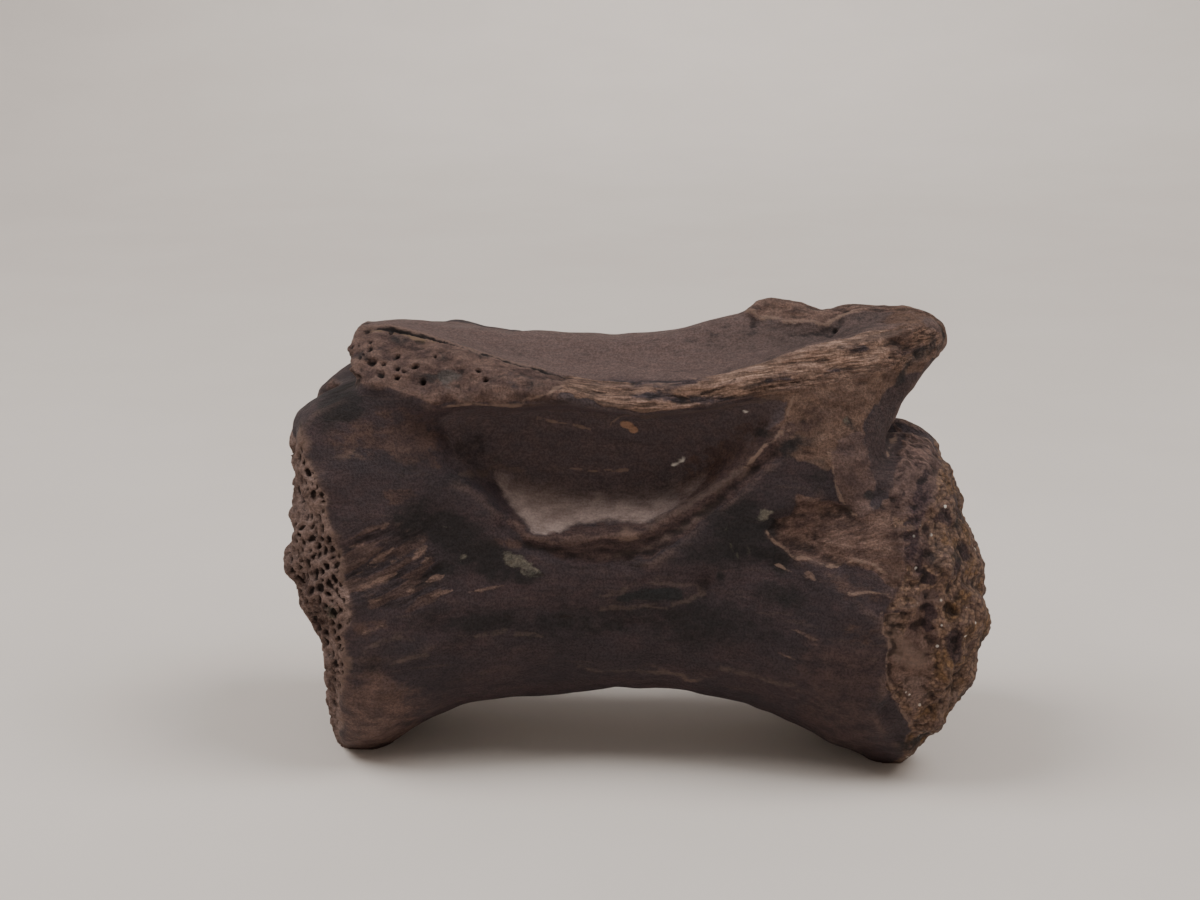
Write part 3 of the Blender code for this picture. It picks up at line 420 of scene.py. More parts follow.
class Skin:
    """The points of the bone's skin in millimetres, how far each is moved, and what each is marked with."""

    def __init__(self, mesh, surface):
        self.mesh = mesh
        ends = np.empty(len(mesh.edges) * 2, np.int32)
        mesh.edges.foreach_get("vertices", ends)
        self.ends = ends.reshape(-1, 2).T
        self.points, self.normals = self.shape()
        self.x, self.y, self.z = self.points.T
        # How much each point is on the near side, how far out over the brow, and how far above the lip.
        self.near = step(-0.5, -3, self.y)
        above_brow = self.z - column(BROW, self.x, 2)
        self.outside = BROW_SLOPE[0] * (np.abs(self.y) - column(BROW, self.x)) - BROW_SLOPE[1] * above_brow
        self.above_lip = self.z - column(LIP, self.x, 2)
        self.side = self.near * (1 - step(0.3, -0.3, self.outside) * step(-0.5, 0.5, self.above_lip))
        self.ragged_x = self.x + 0.35 * lumps(self.points, 1.7, 11) + 0.15 * lumps(self.points, 0.7, 12)
        self.ragged_z = self.z + 0.35 * lumps(self.points, 1.7, 13) + 0.15 * lumps(self.points, 0.7, 14)
        self.wavy_x = self.x + 0.3 * lumps(self.points, 3, 15)
        self.wavy_z = self.z + 0.3 * lumps(self.points, 3, 16)
        self.flow = self.grain_lines()
        self.relief = self.fill(surface)
        self.calm = np.zeros(len(self.points))
        self.marks = {}

    def shape(self):
        """The points in millimetres, and their normals, as the mesh now has them."""
        count = len(self.mesh.vertices)
        points, normals = np.empty(count * 3), np.empty(count * 3)
        self.mesh.vertices.foreach_get("co", points)
        self.mesh.vertex_normals.foreach_get("vector", normals)
        return points.reshape(-1, 3) / MM, normals.reshape(-1, 3)

    def averaged(self, values, passes):
        """The values after each has been made the average of its neighbours', many times over."""
        a, b = self.ends
        count = len(values)
        shares = np.bincount(np.concatenate([a, b]), minlength=count)
        for _ in range(passes):
            values = (np.bincount(a, values[b], count) + np.bincount(b, values[a], count)) / shares
        return values

    def fill(self, surface):
        """What rounding the facets took off each part of the skin, or added to it."""
        nearest = [surface.find_nearest(Vector(point))[0] for point in (self.points * MM).tolist()]
        gap = ((np.array(nearest) / MM - self.points) * self.normals).sum(axis=1)
        return self.averaged(np.clip(gap, -MOST_FILL, MOST_FILL), FILL_PASSES)

    def grain_lines(self):
        """The points laid out so that the bone's fibres run along the first axis everywhere."""
        x, y, z = self.x, self.y, self.z
        flow = np.stack([x, y, self.above_lip + 50], axis=1)
        low = step(50, 46, z)[:, None]
        rear_top = (step(34, 36, x) * step(55, 53, z))[:, None]
        for tilt, amount in ((STREAK_TILT, low), (REAR_TOP_TILT, rear_top)):
            flow = flow * (1 - amount) + self.turned(tilt) * amount
        return flow

    def turned(self, tilt):
        """The points with their first axis tilted up from X by this many degrees."""
        turn = math.radians(tilt)
        along = self.x * math.cos(turn) + self.z * math.sin(turn)
        across = self.z * math.cos(turn) - self.x * math.sin(turn)
        return np.stack([along, self.y, across], axis=1)

    def mark(self, name, amount):
        """Marks each point with at least this amount, from 0 to 1."""
        old = self.marks.get(name, 0)
        self.marks[name] = np.maximum(old, np.clip(amount, 0, 1))

    def within(self, outline):
        """How deep each point lies inside an outline with a ragged edge."""
        return inside(outline, self.ragged_x, self.ragged_z)

    def finish(self):
        """Moves the points and stores the marks on the mesh."""
        moved = self.points + self.normals * self.relief[:, None]
        moved[:, 2] = np.where(self.points[:, 2] < FOOT_REACH, 0, np.maximum(moved[:, 2], 0))
        self.mesh.vertices.foreach_set("co", (moved * MM).ravel())
        for name, amount in self.marks.items():
            self.store(name, amount)
        layer = self.mesh.attributes.new("flow", "FLOAT_VECTOR", "POINT")
        layer.data.foreach_set("vector", (self.flow * MM).astype(np.float32).ravel())
        self.mesh.update()
        self.mark_edges()

    def store(self, name, amount):
        layer = self.mesh.attributes.new(name, "FLOAT", "POINT")
        layer.data.foreach_set("value", amount.astype(np.float32))

    def mark_edges(self):
        """Marks how far each point stands out from the skin around it: 0.5 if flat, more on an edge."""
        points, normals = self.shape()
        around = np.stack([self.averaged(along, EDGE_PASSES) for along in points.T], axis=1)
        proud = ((points - around) * normals).sum(axis=1) * (1 - 0.8 * self.calm)
        self.store("proud", np.clip(0.5 + proud / EDGE_HEIGHT / 2, 0, 1))


def worn_front(skin):
    """The net of thin walls and open cells where the front end has lost its outer layer."""
    p = skin.points
    edge = column(FRONT_CORTEX, skin.z) - skin.x + 0.8 * lumps(p, 2.6, 3)
    low = skin.z + 1.8 * lumps(p, 4.2, 19) + 3.5 * step(10, 3, np.abs(skin.y + 1.5))
    worn = step(-0.2, 0.8, edge) * step(END_TOP, END_TOP - 4, low)
    near, next_near = cells(p, NET_CELL)
    hole = step(0.07, 0.32, next_near - near) * step(-1.4, -0.6, lumps(p, 4, 9))
    skin.relief -= NET_DEPTH * hole * worn
    # Painted shade darkens the open cells of the net.
    skin.mark("pit_shade", 0.72 * hole * worn)
    skin.mark("spongy", (0.5 + edge / 2) * step(END_TOP + 1, END_TOP - 4, low))
    skin.mark("rust", worn * lumps(p, 5, 10))
    rim = step(-1.3, -0.5, edge) * step(1, 0.3, edge) * step(END_TOP, END_TOP - 4, low)
    skin.mark("pale", rim * (0.45 + 0.25 * lumps(p, (2, 2, 3), 26)))


def worn_rear(skin):
    """The lumpy, crystal-filled rear end."""
    p = skin.points
    edge = skin.x - column(REAR_CORTEX, skin.z) + 0.7 * lumps(p, 2.4, 5)
    worn = step(-0.2, 1, edge) * step(END_TOP, END_TOP - 3, skin.z)
    near = cells(p, CRYSTAL_SIZE, 4)[0]
    skin.relief += worn * (0.4 * (0.5 - near) + 0.16 * lumps(p, 3.6, 6) + 0.12 * lumps(p, 1.4, 8))
    # Painted shade darkens the hollows between the crystal lumps.
    skin.mark("pit_shade", worn * 0.3 * step(0.6, 0.9, near))
    skin.calm = 0.35 * worn
    skin.mark("stain", worn * 0.65 * lumps(p, 2.8, 7))
    skin.mark("purple", worn * (0.85 * lumps(p, (3, 3, 4.5), 18) + 0.02))
    skin.mark("amber", worn * (0.3 + 0.9 * lumps(p, 2.6, 17)))
    skin.mark("granular", (0.5 + edge / 2) * step(END_TOP, END_TOP - 3, skin.z))


def broken_face(skin):
    """The porous break between the crack and the lip, on the front half of the near side."""
    p, x, z = skin.points, skin.x, skin.z
    face = step(-0.1, 0.3, skin.outside) * step(-0.8, 0.3, skin.above_lip) * step(-4, -13, x) * skin.near
    stump = step(-36.5, -38, x) * step(53.5, 55, z)
    face = np.maximum(face, stump)
    skin.relief += face * (0.16 * lumps(p, (2.2, 1.3, 1.3), 21) + 0.09 * lumps(p, 0.7, 22) - 0.05)
    rng = random.Random(SEED)
    places = np.flatnonzero((face > 0.7) & (x < -14) & (skin.near > 0.5))
    pores = list(PORES)
    for index in rng.choices(places, weights=np.exp(-(x[places] + 40) / 6), k=SMALL_PORES):
        pores.append((x[index], z[index], rng.uniform(*SMALL_PORE_RADIUS)))
    hole = np.zeros(len(x))
    half_x, half_z = skin.ragged_x * 0.5 + x * 0.5, skin.ragged_z * 0.5 + z * 0.5
    for px, pz, radius in pores:
        away = np.hypot((half_x - px) / 1.4, half_z - pz) / radius
        hole = np.maximum(hole, step(1.5, 0.6, away))
    hole *= skin.near
    skin.relief -= (0.3 + 0.4 * step(-38.5, -36, x)) * hole
    # Painted shade darkens the pores.
    skin.mark("pit_shade", 0.8 * hole)
    skin.mark("face", face * (0.74 + 0.2 * lumps(p, 3, 23)))
    skin.mark("stain", face * (0.75 * lumps(p, (4, 2.2, 2.2), 24) - 0.05))
    skin.mark("rust", face * (0.2 + 0.8 * lumps(p, (3, 2, 2), 25)))


def crack(skin):
    """The thin crack along the near brow, open in front with painted shade blackening it, and a fine rusty
    line further back.
    """
    p, x = skin.points, skin.x
    wander = skin.outside + 0.22 * lumps(p, 2, 31)
    along = skin.near * step(0.3, 1.2, skin.above_lip)
    open_part = step(-38.5, -37.5, x) * step(-7, -10, x)
    skin.relief -= 0.5 * step(0.34, 0.1, np.abs(wander)) * open_part * along
    line = np.clip(1 - np.abs(wander) / 1.3, 0, 1) * along
    # Marks the open crack for its painted shade.
    skin.mark("crack", line * open_part * step(-0.95, -0.45, lumps(p, (3, 9, 9), 32)))
    skin.mark("dark line", 0.8 * line * step(-12, -8, x) * step(8, 4, x))
    below = step(0.1, 0.5, wander) * step(1.9, 0.7, wander) * along
    skin.mark("ochre", below * (0.7 + 0.4 * lumps(p, 0.9, 33)) * step(-22, -30, x))
    skin.mark("rust", below * 0.6 * step(-22, -12, x) * step(6, 2, x))
    skin.mark("pale", 0.6 * step(0.2, -0.1, wander) * step(-1.3, -0.4, wander) * along * step(-10, -13, x))
    strip = along * step(-9, -5, x) * step(9, 5, x)
    skin.mark("pale", 0.45 * step(0.1, 0.4, wander) * step(1.6, 0.9, wander) * strip)


def fibrous_ridge(skin):
    """Lengthwise splinters and dark grooves on the ridges, and on the side of the rear process."""
    p, x, y = skin.points, skin.x, skin.y
    ridge = step(-0.9, 0.1, skin.outside) * step(-0.7, 0.2, skin.above_lip) * step(-14, -8, x)
    ridge *= step(0.5, -0.2, skin.within(WALL))
    process = step(-0.3, 0.8, skin.within(PROCESS_SIDE)) * skin.side
    follow = np.stack([x, y, skin.above_lip], axis=1)
    long_grain = lumps(follow, (15, 2.2, 1.3), 41)
    fine_grain = lumps(follow, (7, 1, 0.6), 42)
    groove = step(0.2, 0.03, np.abs(long_grain)) * step(-0.2, 0.3, lumps(follow, (6, 4, 4), 43))
    groove *= step(26, 19, x)
    skin.relief += ridge * (0.14 * fine_grain - 0.24 * groove + 0.15 * np.minimum(long_grain, 0.5))
    coarse = 0.12 * lumps(p, (1.8, 1.3, 1.1), 45) + 0.06 * lumps(p, 0.7, 46)
    skin.relief += process * (1 - ridge) * coarse
    # Painted shade darkens the grooves and the low fibres of the ridge.
    skin.mark("pit_shade", 0.42 * ridge * groove + 0.25 * ridge * step(-0.3, -0.8, fine_grain))
    skin.mark("ridge", ridge * (0.66 + 0.35 * lumps(follow, (9, 2, 1.4), 44)))
    skin.mark("side", 0.85 * ridge * step(3, -3, x))
    skin.mark("pale", ridge * step(-0.3, 0.9, fine_grain) * 0.5 * step(-6, 3, x))
    skin.mark("fibrous", ridge)
    skin.mark("threads", ridge * (0.75 + 0.5 * lumps(follow, (9, 3, 2), 47)))


def knob(skin):
    """The mottled end of the rear process."""
    p = skin.points
    end = step(29, 36, skin.x) * step(-2.5, 0.5, skin.above_lip) * step(52, 54, skin.z)
    near = cells(p, 1.1, 51)[0]
    skin.relief += end * (0.1 * lumps(p, 1.2, 52) - 0.16 * step(0.28, 0.12, near))
    # Painted shade darkens the knob's pits.
    skin.mark("pit_shade", 0.5 * end * step(0.3, 0.15, near))
    skin.mark("knob", end * (0.62 + 0.35 * lumps(p, 2.6, 53)))
    skin.mark("rust", end * step(-0.2, 0.9, lumps(p, 2.2, 54)) * 0.6)
    skin.mark("stain", end * step(36, 40, skin.x) * (0.22 + 0.6 * lumps(p, 1.7, 55)))


def roof(skin):
    """The smooth roof, the ragged broken base of the spine on it, and the small hole beside that."""
    p, x, y = skin.points, skin.x, skin.y
    high = step(57.5, 58.5, skin.z)
    top = step(0.3, -0.4, skin.outside) * step(55, 57, skin.z) * step(0.35, 0.6, skin.normals[:, 2])
    skin.mark("roof", top)
    skin.mark("stain", top * (0.2 + 0.2 * lumps(p, (9, 4, 9), 67) + 0.1 * step(5, 15, x)))
    skin.mark("dull", top * step(1, 15, x) * (0.8 + 0.3 * lumps(p, (9, 4, 9), 68)))
    waver = lumps(p, 1.3, 62)
    ragged = inside(SPINE_BASE, x + 0.5 * lumps(p, 1.5, 61), y + 0.4 * waver)
    base = step(-0.3, 1.6, ragged) * high
    lumpy = lumps(p, (3.6, 1.2, 1.2), 63)
    skin.relief += base * (0.1 + 0.2 * lumpy + 0.12 * lumps(p, (1.6, 0.8, 0.8), 64))
    # Painted shade darkens the low parts of the spine base.
    skin.mark("pit_shade", 0.6 * base * step(-0.1, -0.8, lumpy))
    skin.mark("spine", (0.5 + ragged / 2) * high)
    skin.mark("fibrous", 0.5 * base)
    edge = from_line(SPINE_EDGE, x, y + 0.2 * waver)
    skin.relief += 0.12 * step(0.5, 0.1, edge) * high
    skin.mark("pale line", np.clip(1 - edge / 1.3, 0, 1) * high)
    # A groove under the spine base's near edge, darkened with painted shade further back.
    under = step(0.9, 0.2, np.abs(ragged + 0.9)) * high * (y < 0)
    skin.relief -= 0.25 * under
    skin.mark("pit_shade", 0.3 * under * step(15, 19, x))
    behind = step(26, 28, x) * step(2.4, 1.4, np.abs(y)) * step(60, 61, skin.z)
    grooves = step(0.25, 0.05, np.abs(lumps(p, (9, 0.9, 3), 66)))
    skin.relief -= 0.15 * grooves * behind
    skin.mark("tan", 0.85 * behind)
    skin.mark("threads", 0.7 * behind)
    # Painted shade in the grooves behind the spine.
    skin.mark("pit_shade", 0.5 * grooves * behind)
    hx, hy, radius = ROOF_HOLE
    hole = step(1.3, 0.7, np.hypot(x - hx, y - hy) / radius) * high
    skin.relief -= 0.4 * hole
    # Painted shade darkens the small hole.
    skin.mark("pit_shade", hole)


def hollow(skin):
    """The shelf of the deep hollow in the near side, made pale with a painted sheen and made glossier, its
    layered rim, and the chip on its wall.
    """
    p, x, z, near = skin.points, skin.x, skin.z, skin.near
    from_rim = from_line(SHELF_RIM, skin.ragged_x, skin.ragged_z)
    uneven_x, uneven_z = x + 0.4 * (skin.ragged_x - x), z + 0.4 * (skin.ragged_z - z)
    floor = step(-0.3, 0.2, inside(SHELF, uneven_x, uneven_z)) * near
    below_top = column(SHELF_TOP, x) - z + 0.4 * lumps(p, (2.6, 2, 2), 73)
    off_rim = step(-0.4, 0.4, from_rim + 0.3 * lumps(p, 1.2, 76))
    # Painted sheen: the up-facing shelf made pale where light falls on it, fading upwards; it is also made
    # glossier.
    skin.mark("painted_sheen", (1 - 0.35 * step(-3, 7, x)) * floor * step(-2.2, 2.8, below_top) * off_rim)
    depth = np.maximum(inside(SHELF, x, z), np.maximum(inside(WALL, x, z), inside(REAR_RIM, x, z)))
    skin.calm = np.maximum(skin.calm, near * step(-1.2, 0.8, depth))
    band = step(-0.4, 0.3, skin.within(BAND)) * near
    layers = np.sin(from_rim * 4.4 + 1.6 * lumps(p, (5, 2, 2), 74))
    skin.relief += band * (0.03 * layers - 0.1 + 0.08 * lumps(p, (1.8, 1, 1), 75))
    skin.mark("pale", 0.24 * band * step(0.2, 1, layers) * step(5, 1, x))
    # Painted shade in the low layers of the band.
    skin.mark("pit_shade", 0.1 * band * step(-0.5, -1, layers))
    # Painted shade along the trough between the shelf's rim and the band.
    gap = step(0.9, 0.3, from_rim) * step(-0.1, 0.4, inside(BAND, x, z)) * step(10, 4, x)
    skin.mark("pit_shade", 0.22 * near * gap)
    for oval in SPOTS["chip"]:
        skin.relief += 0.3 * near * step(0.2, 0.7, spot(oval, x, z))


def splinters(skin):
    """Raised slivers of paler bone, and the fan of fibres on the front half of the near flank."""
    p, x, z, near = skin.points, skin.x, skin.z, skin.near
    turned = skin.turned(STREAK_TILT)
    field = step(-0.5, 3, inside(STREAK_FIELD, x, z)) * near
    fan = lumps(turned, (6, 2, 0.8), 81) + 0.4 * lumps(turned, (2, 1, 0.45), 83)
    skin.relief += field * 0.12 * np.clip(fan, -0.8, 0.8)
    skin.mark("fan", field * (0.46 + 0.6 * fan))
    skin.mark("threads", 0.5 * field)
    # Painted shade in the low fibres of the fan.
    skin.mark("pit_shade", field * step(-0.35, -0.9, fan) * 0.5)
    wobble = 0.15 * lumps(p, 1.1, 82)
    for ax, az, bx, bz, half_width, paleness in SPLINTERS:
        length = math.hypot(bx - ax, bz - az)
        ux, uz = (bx - ax) / length, (bz - az) / length
        t = ((x - ax) * ux + (z - az) * uz) / length
        off = (z - az) * ux - (x - ax) * uz + wobble
        taper = np.clip(1.6 * (1 - np.abs(2 * t - 0.8)), 0, 1)
        depth = 1 - np.abs(off) / (half_width * np.maximum(taper, 0.02))
        sliver = step(-0.1, 0.5, depth) * (taper > 0.03) * near
        skin.relief += 0.12 * sliver * paleness
        skin.mark("sliver", np.clip(0.5 + 0.5 * depth, 0, 1) * (taper > 0.03) * near * (0.6 + 0.4 * paleness))
        # Painted shadow under each splinter.
        under = step(0.9, 0.2, np.abs(off / half_width + 1.2)) * step(0.1, 0.4, taper) * near
        skin.mark("pit_shade", 0.3 * under)


def flakes(skin):
    """The tongue where the outer layer is gone, the flaked rear rim, the thin ledges and the scale."""
    p, near = skin.points, skin.near
    tongue = step(-0.25, 0.25, skin.within(TONGUE)) * near
    fibres = lumps(p, (5, 1.5, 0.9), 91)
    skin.relief += tongue * (0.09 * fibres + 0.08 * lumps(p, 0.8, 92) - 0.12)
    skin.mark("rust", 0.9 * tongue * step(-0.6, 0.9, lumps(p, (4, 3, 2), 93)))
    # Painted shade in the tongue's low fibres.
    skin.mark("pit_shade", 0.14 * tongue * step(-0.4, -0.9, fibres))
    flaked = step(-0.25, 0.25, skin.within(FLAKED)) * near
    broken = step(-0.25, 0.25, skin.within(RIM_BREAK)) * near
    bumps = lumps(p, 1.4, 94)
    rough = 0.18 * bumps + 0.1 * lumps(p, 0.7, 95)
    either = np.maximum(flaked, broken)
    skin.relief += either * rough - 0.2 * flaked
    # Painted shade in the low bumps of the flaked rim.
    skin.mark("pit_shade", 0.3 * either * step(-0.4, -0.9, bumps))
    grainy = np.maximum(flaked, 0.8 * broken * step(42, 37, skin.z))
    skin.mark("granular", 0.8 * grainy * step(-0.5, 0.5, lumps(p, (3, 3, 4), 96)))
    for line in THIN_LINES["pale line"]:
        skin.relief += 0.07 * step(0.5, 0.15, from_line(line, skin.wavy_x, skin.wavy_z)) * skin.side
    scale = step(-0.2, 0.3, skin.within(SCALE)) * near
    skin.relief += 0.14 * scale
    skin.mark("fibrous", np.maximum(tongue, 0.5 * scale))
    skin.mark("threads", 0.35 * tongue)


def stains(skin):
    """Stains, tints and fine lines: the placed ones of the near side, and scattered ones all over."""
    p, x, z, near, side = skin.points, skin.x, skin.z, skin.near, skin.side
    patchy = 0.8 + 0.3 * lumps(p, 2.4, 103)
    for name, outline in (("warm", LOWER_REAR), ("foot", FRONT_FOOT)):
        skin.mark(name, side * (0.45 + skin.within(outline) / 5) * patchy)
    for name, outline in AREAS:
        skin.mark(name, side * (0.5 + skin.within(outline) / 2))
    for name, lines in THIN_LINES.items():
        for line in lines:
            skin.mark(name, side * (1 - from_line(line, skin.wavy_x, skin.wavy_z) / LINE_REACH[name]))
    rx, rz = x + 0.9 * lumps(p, 3.4, 101), z + 0.9 * lumps(p, 3, 102)
    for name, ovals in SPOTS.items():
        place = (x, z) if name in ("chip", "speck_and_glint") else (rx, rz)
        for oval in ovals:
            skin.mark(name, side * spot(oval, *place))
    far = (1 - near) * step(-0.3, 0.3, -skin.normals[:, 2] + 0.9)
    skin.mark("stain", 0.8 * far * (0.3 + 0.8 * lumps(p, (17, 12, 6.5), 104)))
    skin.mark("rust", 0.6 * far * (0.1 + 0.8 * lumps(p, (9, 9, 5), 105)))
    far_x, far_z = x + 1.2 * lumps(p, 4, 107), z + 1.2 * lumps(p, 4, 108)
    broken = step(-0.2, 0.3, lumps(p, 5, 109))
    for outline in FAR_HOLLOWS:
        depth = inside(outline, far_x, far_z)
        skin.mark("face", far * (0.5 + depth / 4))
        skin.mark("pale line", 0.95 * far * (1 - np.abs(depth)) * broken)
    streaks = lumps(skin.flow, (7, 4, 1.3), 121) + 0.5 * lumps(p, 14, 122)
    skin.mark("fan", far * step(0.2, 0.9, streaks))
    skin.mark("threads", 0.6 * far * step(0, 0.7, streaks))
    broken = step(-0.3, 0.3, lumps(p, 1.5, 106))
    for line in PURPLE_STREAKS:
        streak = near * step(1.5, 0.6, from_line(line, skin.ragged_x, skin.ragged_z)) * broken
        skin.relief -= 0.1 * streak
        skin.mark("purple", streak)


def rear_top(skin):
    """The streaky top of the spool's rear end, beside the canal."""
    top = step(35, 37, skin.x) * step(43.5, 45, skin.z) * step(END_TOP + 1, END_TOP - 4, skin.z)
    streaks = lumps(skin.flow, (5, 2, 0.7), 111)
    skin.relief += top * 0.1 * streaks
    skin.mark("tan", top * (0.55 + 0.35 * streaks))
    skin.mark("threads", top)


def dress(skin):
    skin.relief += 0.1 * lumps(skin.points, 3.2, 1) + 0.04 * lumps(skin.points, (4, 1.2, 1.2), 2)
    for layer in (worn_front, worn_rear, roof, broken_face, crack, fibrous_ridge, knob, rear_top, hollow,
                  splinters, flakes, stains):
        layer(skin)


def add(tree, kind, inputs=None, **settings):
    """Adds a node with the given settings, and links or sets its inputs."""
    node = tree.nodes.new(kind)
    for name, value in settings.items():
        setattr(node, name, value)
    for name, value in (inputs or {}).items():
        if isinstance(value, bpy.types.NodeSocket):
            tree.links.new(value, node.inputs[name])
        else:
            node.inputs[name].default_value = value
    return node


def attribute(tree, name, output="Fac"):
    return add(tree, "ShaderNodeAttribute", attribute_name=name).outputs[output]


def maths(tree, operation, a, b):
    return add(tree, "ShaderNodeMath", {0: a, 1: b}, operation=operation).outputs[0]


def times(tree, a, b):
    return maths(tree, "MULTIPLY", a, b)


def plus(tree, value, more, amount):
    """The value with an amount of another added to it."""
    return maths(tree, "ADD", value, times(tree, more, amount))


def blend(tree, factor, a, b, blend_type="MIX"):
    inputs = {0: factor, 6: a, 7: b}
    return add(tree, "ShaderNodeMix", inputs, data_type="RGBA", blend_type=blend_type).outputs[2]


def spread(tree, value, low, high, to_low=0, to_high=1):
    """The value's range from low to high, stretched smoothly over another range."""
    inputs = {"Value": value, "From Min": low, "From Max": high, "To Min": to_low, "To Max": to_high}
    return add(tree, "ShaderNodeMapRange", inputs, interpolation_type="SMOOTHSTEP").outputs["Result"]


def grain(tree, place, size, stretch=(1, 1, 1), detail=4, roughness=0.55):
    """Noise from 0 to 1 whose lumps are `size` millimetres across and drawn out by `stretch`."""
    scale = [1 / (size * MM * longer) for longer in stretch]
    vector = add(tree, "ShaderNodeMapping", {"Vector": place, "Scale": scale}).outputs["Vector"]
    inputs = {"Vector": vector, "Scale": 1, "Detail": detail, "Roughness": roughness}
    return add(tree, "ShaderNodeTexNoise", inputs).outputs["Fac"]


def new_material(name):
    """A hardly shiny material, with its tree, its shader and where each point lies on the object."""
    material = bpy.data.materials.new(name)
    material.use_nodes = True
    tree = material.node_tree
    shader = tree.nodes["Principled BSDF"]
    shader.inputs["Specular IOR Level"].default_value = SPECULAR
    return material, tree, shader, add(tree, "ShaderNodeTexCoord").outputs["Object"]


def fossil_bone():
    """Dark mineralised bone: umber and red-brown, tinted and worn where the skin is marked, with painted
    shade in its hollows and painted highlights, sheen and glints.
    """
    material, tree, shader, place = new_material("fossil bone")
    breaks = maths(tree, "SUBTRACT", grain(tree, place, 1.3, (1.6, 1, 1), 6, 0.65), 0.5)
    patches = spread(tree, grain(tree, place, 7, (2.2, 1, 1), 3), 0.38, 0.62)
    mottle = spread(tree, grain(tree, place, 1.6, (1.6, 1, 1), 5, 0.6), 0.35, 0.68)
    speckle = spread(tree, grain(tree, place, 0.32, roughness=0.75), 0.35, 0.65)
    fibres = spread(tree, grain(tree, place, 0.5, (6, 1, 1)), 0.36, 0.66)
    cell = add(tree, "ShaderNodeTexVoronoi", {"Vector": place, "Scale": 1 / (GRAIN * MM)}).outputs
    chance = add(tree, "ShaderNodeSeparateColor", {0: cell["Color"]}).outputs
    noises = {"mottle": mottle, "speckle": speckle, "fibres": fibres, "grains": chance["Red"]}
    colour = blend(tree, patches, UMBER, RED_BROWN)
    colour = blend(tree, times(tree, mottle, 0.5), colour, GREY_UMBER)
    wisps = grain(tree, place, 1.1, (8, 3, 1), 5, 0.6)
    colour = blend(tree, spread(tree, wisps, 0.55, 0.7, 0, 0.4), colour, WISP)
    colour = blend(tree, spread(tree, wisps, 0.44, 0.3, 0, 0.55), colour, DARK_WISP)
    for mark, tone, other_tone, drift, start, full, ragged, strength in TINTS:
        tint = blend(tree, noises[drift], (*tone, 1), (*other_tone, 1))
        broken = plus(tree, attribute(tree, mark), breaks, 2 * ragged)
        colour = blend(tree, spread(tree, broken, start, full, 0, strength), colour, tint)
    proud = attribute(tree, "proud")
    # Raised edges lightened: wear and a painted highlight.
    colour = blend(tree, spread(tree, proud, 0.6, 0.98, 0, 0.45), colour, EDGE_TONE)
    # Creases and hollows darkened: painted shade.
    colour = blend(tree, spread(tree, proud, 0.44, 0.05, 0, 0.7), colour, PAINTED_SHADE)
    # Painted shade in the pits, pores, grooves and gaps marked on the skin.
    colour = blend(tree, spread(tree, attribute(tree, "pit_shade"), 0.1, 1, 0, 0.88), colour, PAINTED_SHADE)
    # Painted shade blackens the open crack.
    gap = plus(tree, attribute(tree, "crack"), breaks, 0.5)
    colour = blend(tree, spread(tree, gap, 0.7, 0.86, 0, 0.95), colour, PAINTED_SHADE)
    shade = spread(tree, speckle, 0, 1, 0.72, 1.26)
    shade = times(tree, shade, spread(tree, fibres, 0, 1, 0.94, 1.06))
    # Painted sheen on the shelf: weaker speckle and softer bumps there.
    painted_sheen = attribute(tree, "painted_sheen")
    colour = blend(tree, spread(tree, painted_sheen, 0, 1, 1, 0.55), colour, shade, "MULTIPLY")
    flow = attribute(tree, "flow", "Vector")
    threads = spread(tree, grain(tree, flow, 0.3, (14, 2, 1), 3), 0.36, 0.64)
    threaded = attribute(tree, "threads")
    colour = blend(tree, threaded, colour, spread(tree, threads, 0, 1, 0.52, 1.42), "MULTIPLY")
    granular = spread(tree, attribute(tree, "granular"), 0.4, 0.8)
    # Painted shade in the gaps between the crystal grains; the bump below also sinks them.
    between = times(tree, spread(tree, cell["Distance"], 0.38, 0.8, 0, 0.5), granular)
    colour = blend(tree, between, colour, PAINTED_SHADE)
    # White crystal grains on the granular ends: their own pale colour, brightened as painted glints, and made
    # glossy.
    glints = times(tree, spread(tree, chance["Green"], 0.98, 0.986, 0, 0.85), granular)
    glints = times(tree, glints, spread(tree, cell["Distance"], 0.6, 0.3))
    colour = blend(tree, glints, colour, CRYSTAL_AND_GLINT)
    # White specks and a scratch, and a painted glint in the roof's small hole.
    colour = blend(tree, spread(tree, attribute(tree, "speck_and_glint"), 0.35, 0.75), colour, CRYSTAL_AND_GLINT)
    tree.links.new(colour, shader.inputs["Base Color"])
    rough = spread(tree, mottle, 0, 1, 0.56, 0.7)
    for mark, more in ROUGHER:
        rough = plus(tree, rough, attribute(tree, mark), more)
    rough = plus(tree, rough, glints, -0.4)
    tree.links.new(rough, shader.inputs["Roughness"])
    fibrous = spread(tree, attribute(tree, "fibrous"), 0, 1, 0.12, 0.9)
    height = times(tree, fibres, fibrous)
    for bumps, amount in ((speckle, 0.6), (mottle, 0.9), (threads, threaded), (between, -1.5)):
        height = plus(tree, height, bumps, amount)
    height = times(tree, height, spread(tree, painted_sheen, 0, 1, 1, 0.3))
    inputs = {"Height": height, "Strength": BUMP_STRENGTH, "Distance": BUMP_DEPTH * MM}
    bump = add(tree, "ShaderNodeBump", inputs)
    tree.links.new(bump.outputs["Normal"], shader.inputs["Normal"])
    return material


def paper():
    """Pale matt paper, very slightly uneven."""
    material, tree, shader, place = new_material("pale paper")
    cloud = spread(tree, grain(tree, place, 60, detail=3), 0.3, 0.7)
    tree.links.new(blend(tree, cloud, PAPER, PAPER_SHADE), shader.inputs["Base Color"])
    shader.inputs["Roughness"].default_value = PAPER_ROUGHNESS
    return material


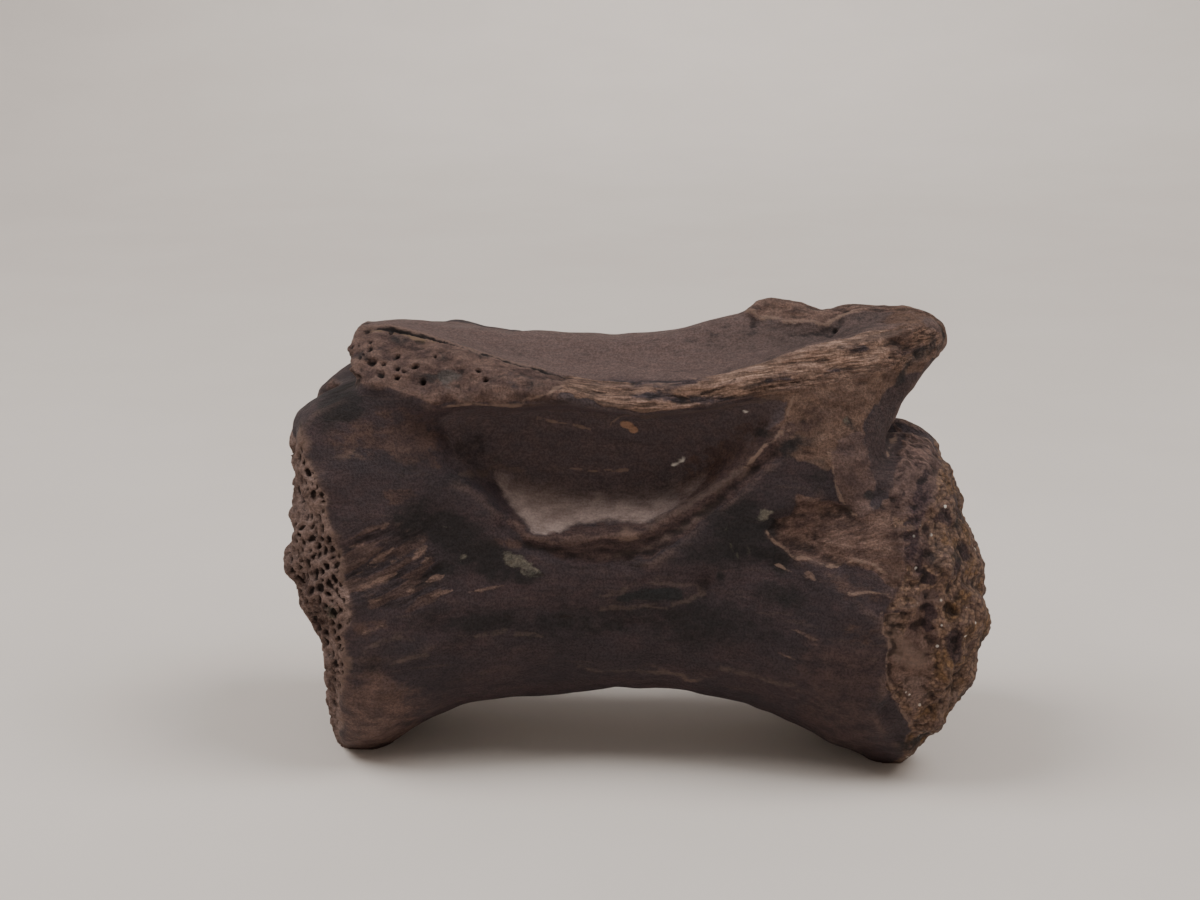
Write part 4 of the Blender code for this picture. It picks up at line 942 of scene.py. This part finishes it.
def studio(material):
    """A round floor that curves up into a wall all about the bone."""
    bm = bmesh.new()
    verts = [bm.verts.new((x, 0, z)) for x, z in FLOOR_PROFILE]
    edges = [bm.edges.new(pair) for pair in zip(verts, verts[1:])]
    bmesh.ops.spin(bm, geom=verts + edges, cent=(0, 0, 0), axis=(0, 0, 1), angle=2 * math.pi,
                   steps=FLOOR_STEPS, use_merge=True)
    bmesh.ops.remove_doubles(bm, verts=bm.verts, dist=1e-5)
    bmesh.ops.recalc_face_normals(bm, faces=bm.faces)
    for face in bm.faces:
        face.smooth = True
    mesh = bpy.data.meshes.new("studio_floor")
    bm.to_mesh(mesh)
    bm.free()
    floor = placed("studio_floor", mesh)
    mesh.materials.append(material)


def soft_light(name, place, target, size, power, spread_angle):
    lamp = bpy.data.lights.new(name, "AREA")
    lamp.spread = math.radians(spread_angle)
    lamp.shape, lamp.size, lamp.energy, lamp.color = "DISK", size, power, LAMP_COLOUR
    holder = placed(name, lamp)
    holder.location = place
    holder.rotation_euler = (Vector(target) - Vector(place)).to_track_quat("-Z", "Y").to_euler()


def lights():
    for lamp in LAMPS:
        soft_light(*lamp)
    world = bpy.data.worlds.new("room")
    world.use_nodes = True
    background = world.node_tree.nodes["Background"]
    background.inputs["Color"].default_value = ROOM_COLOUR
    background.inputs["Strength"].default_value = ROOM_STRENGTH
    bpy.context.scene.world = world


def camera():
    turn, rise = math.radians(CAMERA_TURN), math.radians(CAMERA_RISE)
    back = Vector((math.sin(turn) * math.cos(rise), -math.cos(turn) * math.cos(rise), math.sin(rise)))
    right = Vector((math.cos(turn), math.sin(turn), 0))
    up = back.cross(right)
    place = Vector((0, 0, AIM_HEIGHT)) + CAMERA_AWAY * back - AIM_ACROSS * right + AIM_DOWN * up
    data = bpy.data.cameras.new("camera")
    data.lens, data.sensor_width = LENS, SENSOR
    data.clip_start, data.clip_end = 0.01, 20
    holder = placed("camera", data)
    holder.matrix_world = Matrix.Translation(place * MM) @ Matrix((right, up, back)).transposed().to_4x4()
    bpy.context.scene.camera = holder


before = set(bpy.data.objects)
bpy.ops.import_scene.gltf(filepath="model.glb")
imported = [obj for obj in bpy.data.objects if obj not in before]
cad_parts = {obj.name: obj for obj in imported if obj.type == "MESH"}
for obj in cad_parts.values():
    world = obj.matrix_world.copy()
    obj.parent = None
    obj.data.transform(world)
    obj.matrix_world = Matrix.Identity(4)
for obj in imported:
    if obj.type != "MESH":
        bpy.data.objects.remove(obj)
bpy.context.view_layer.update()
bone, cad_surface = fine_copy(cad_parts["vertebra"])
skin = Skin(bone.data, cad_surface)
dress(skin)
skin.finish()
thin = bone.modifiers.new("thin", "DECIMATE")
thin.ratio = min(1, MOST_TRIANGLES / (2 * len(bone.data.polygons)))
bone = baked(bone)
for polygon in bone.data.polygons:
    polygon.use_smooth = True
bone.data.materials.clear()
bone.data.materials.append(fossil_bone())
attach(bone, "root")
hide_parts("vertebra")
studio(paper())
lights()
camera()
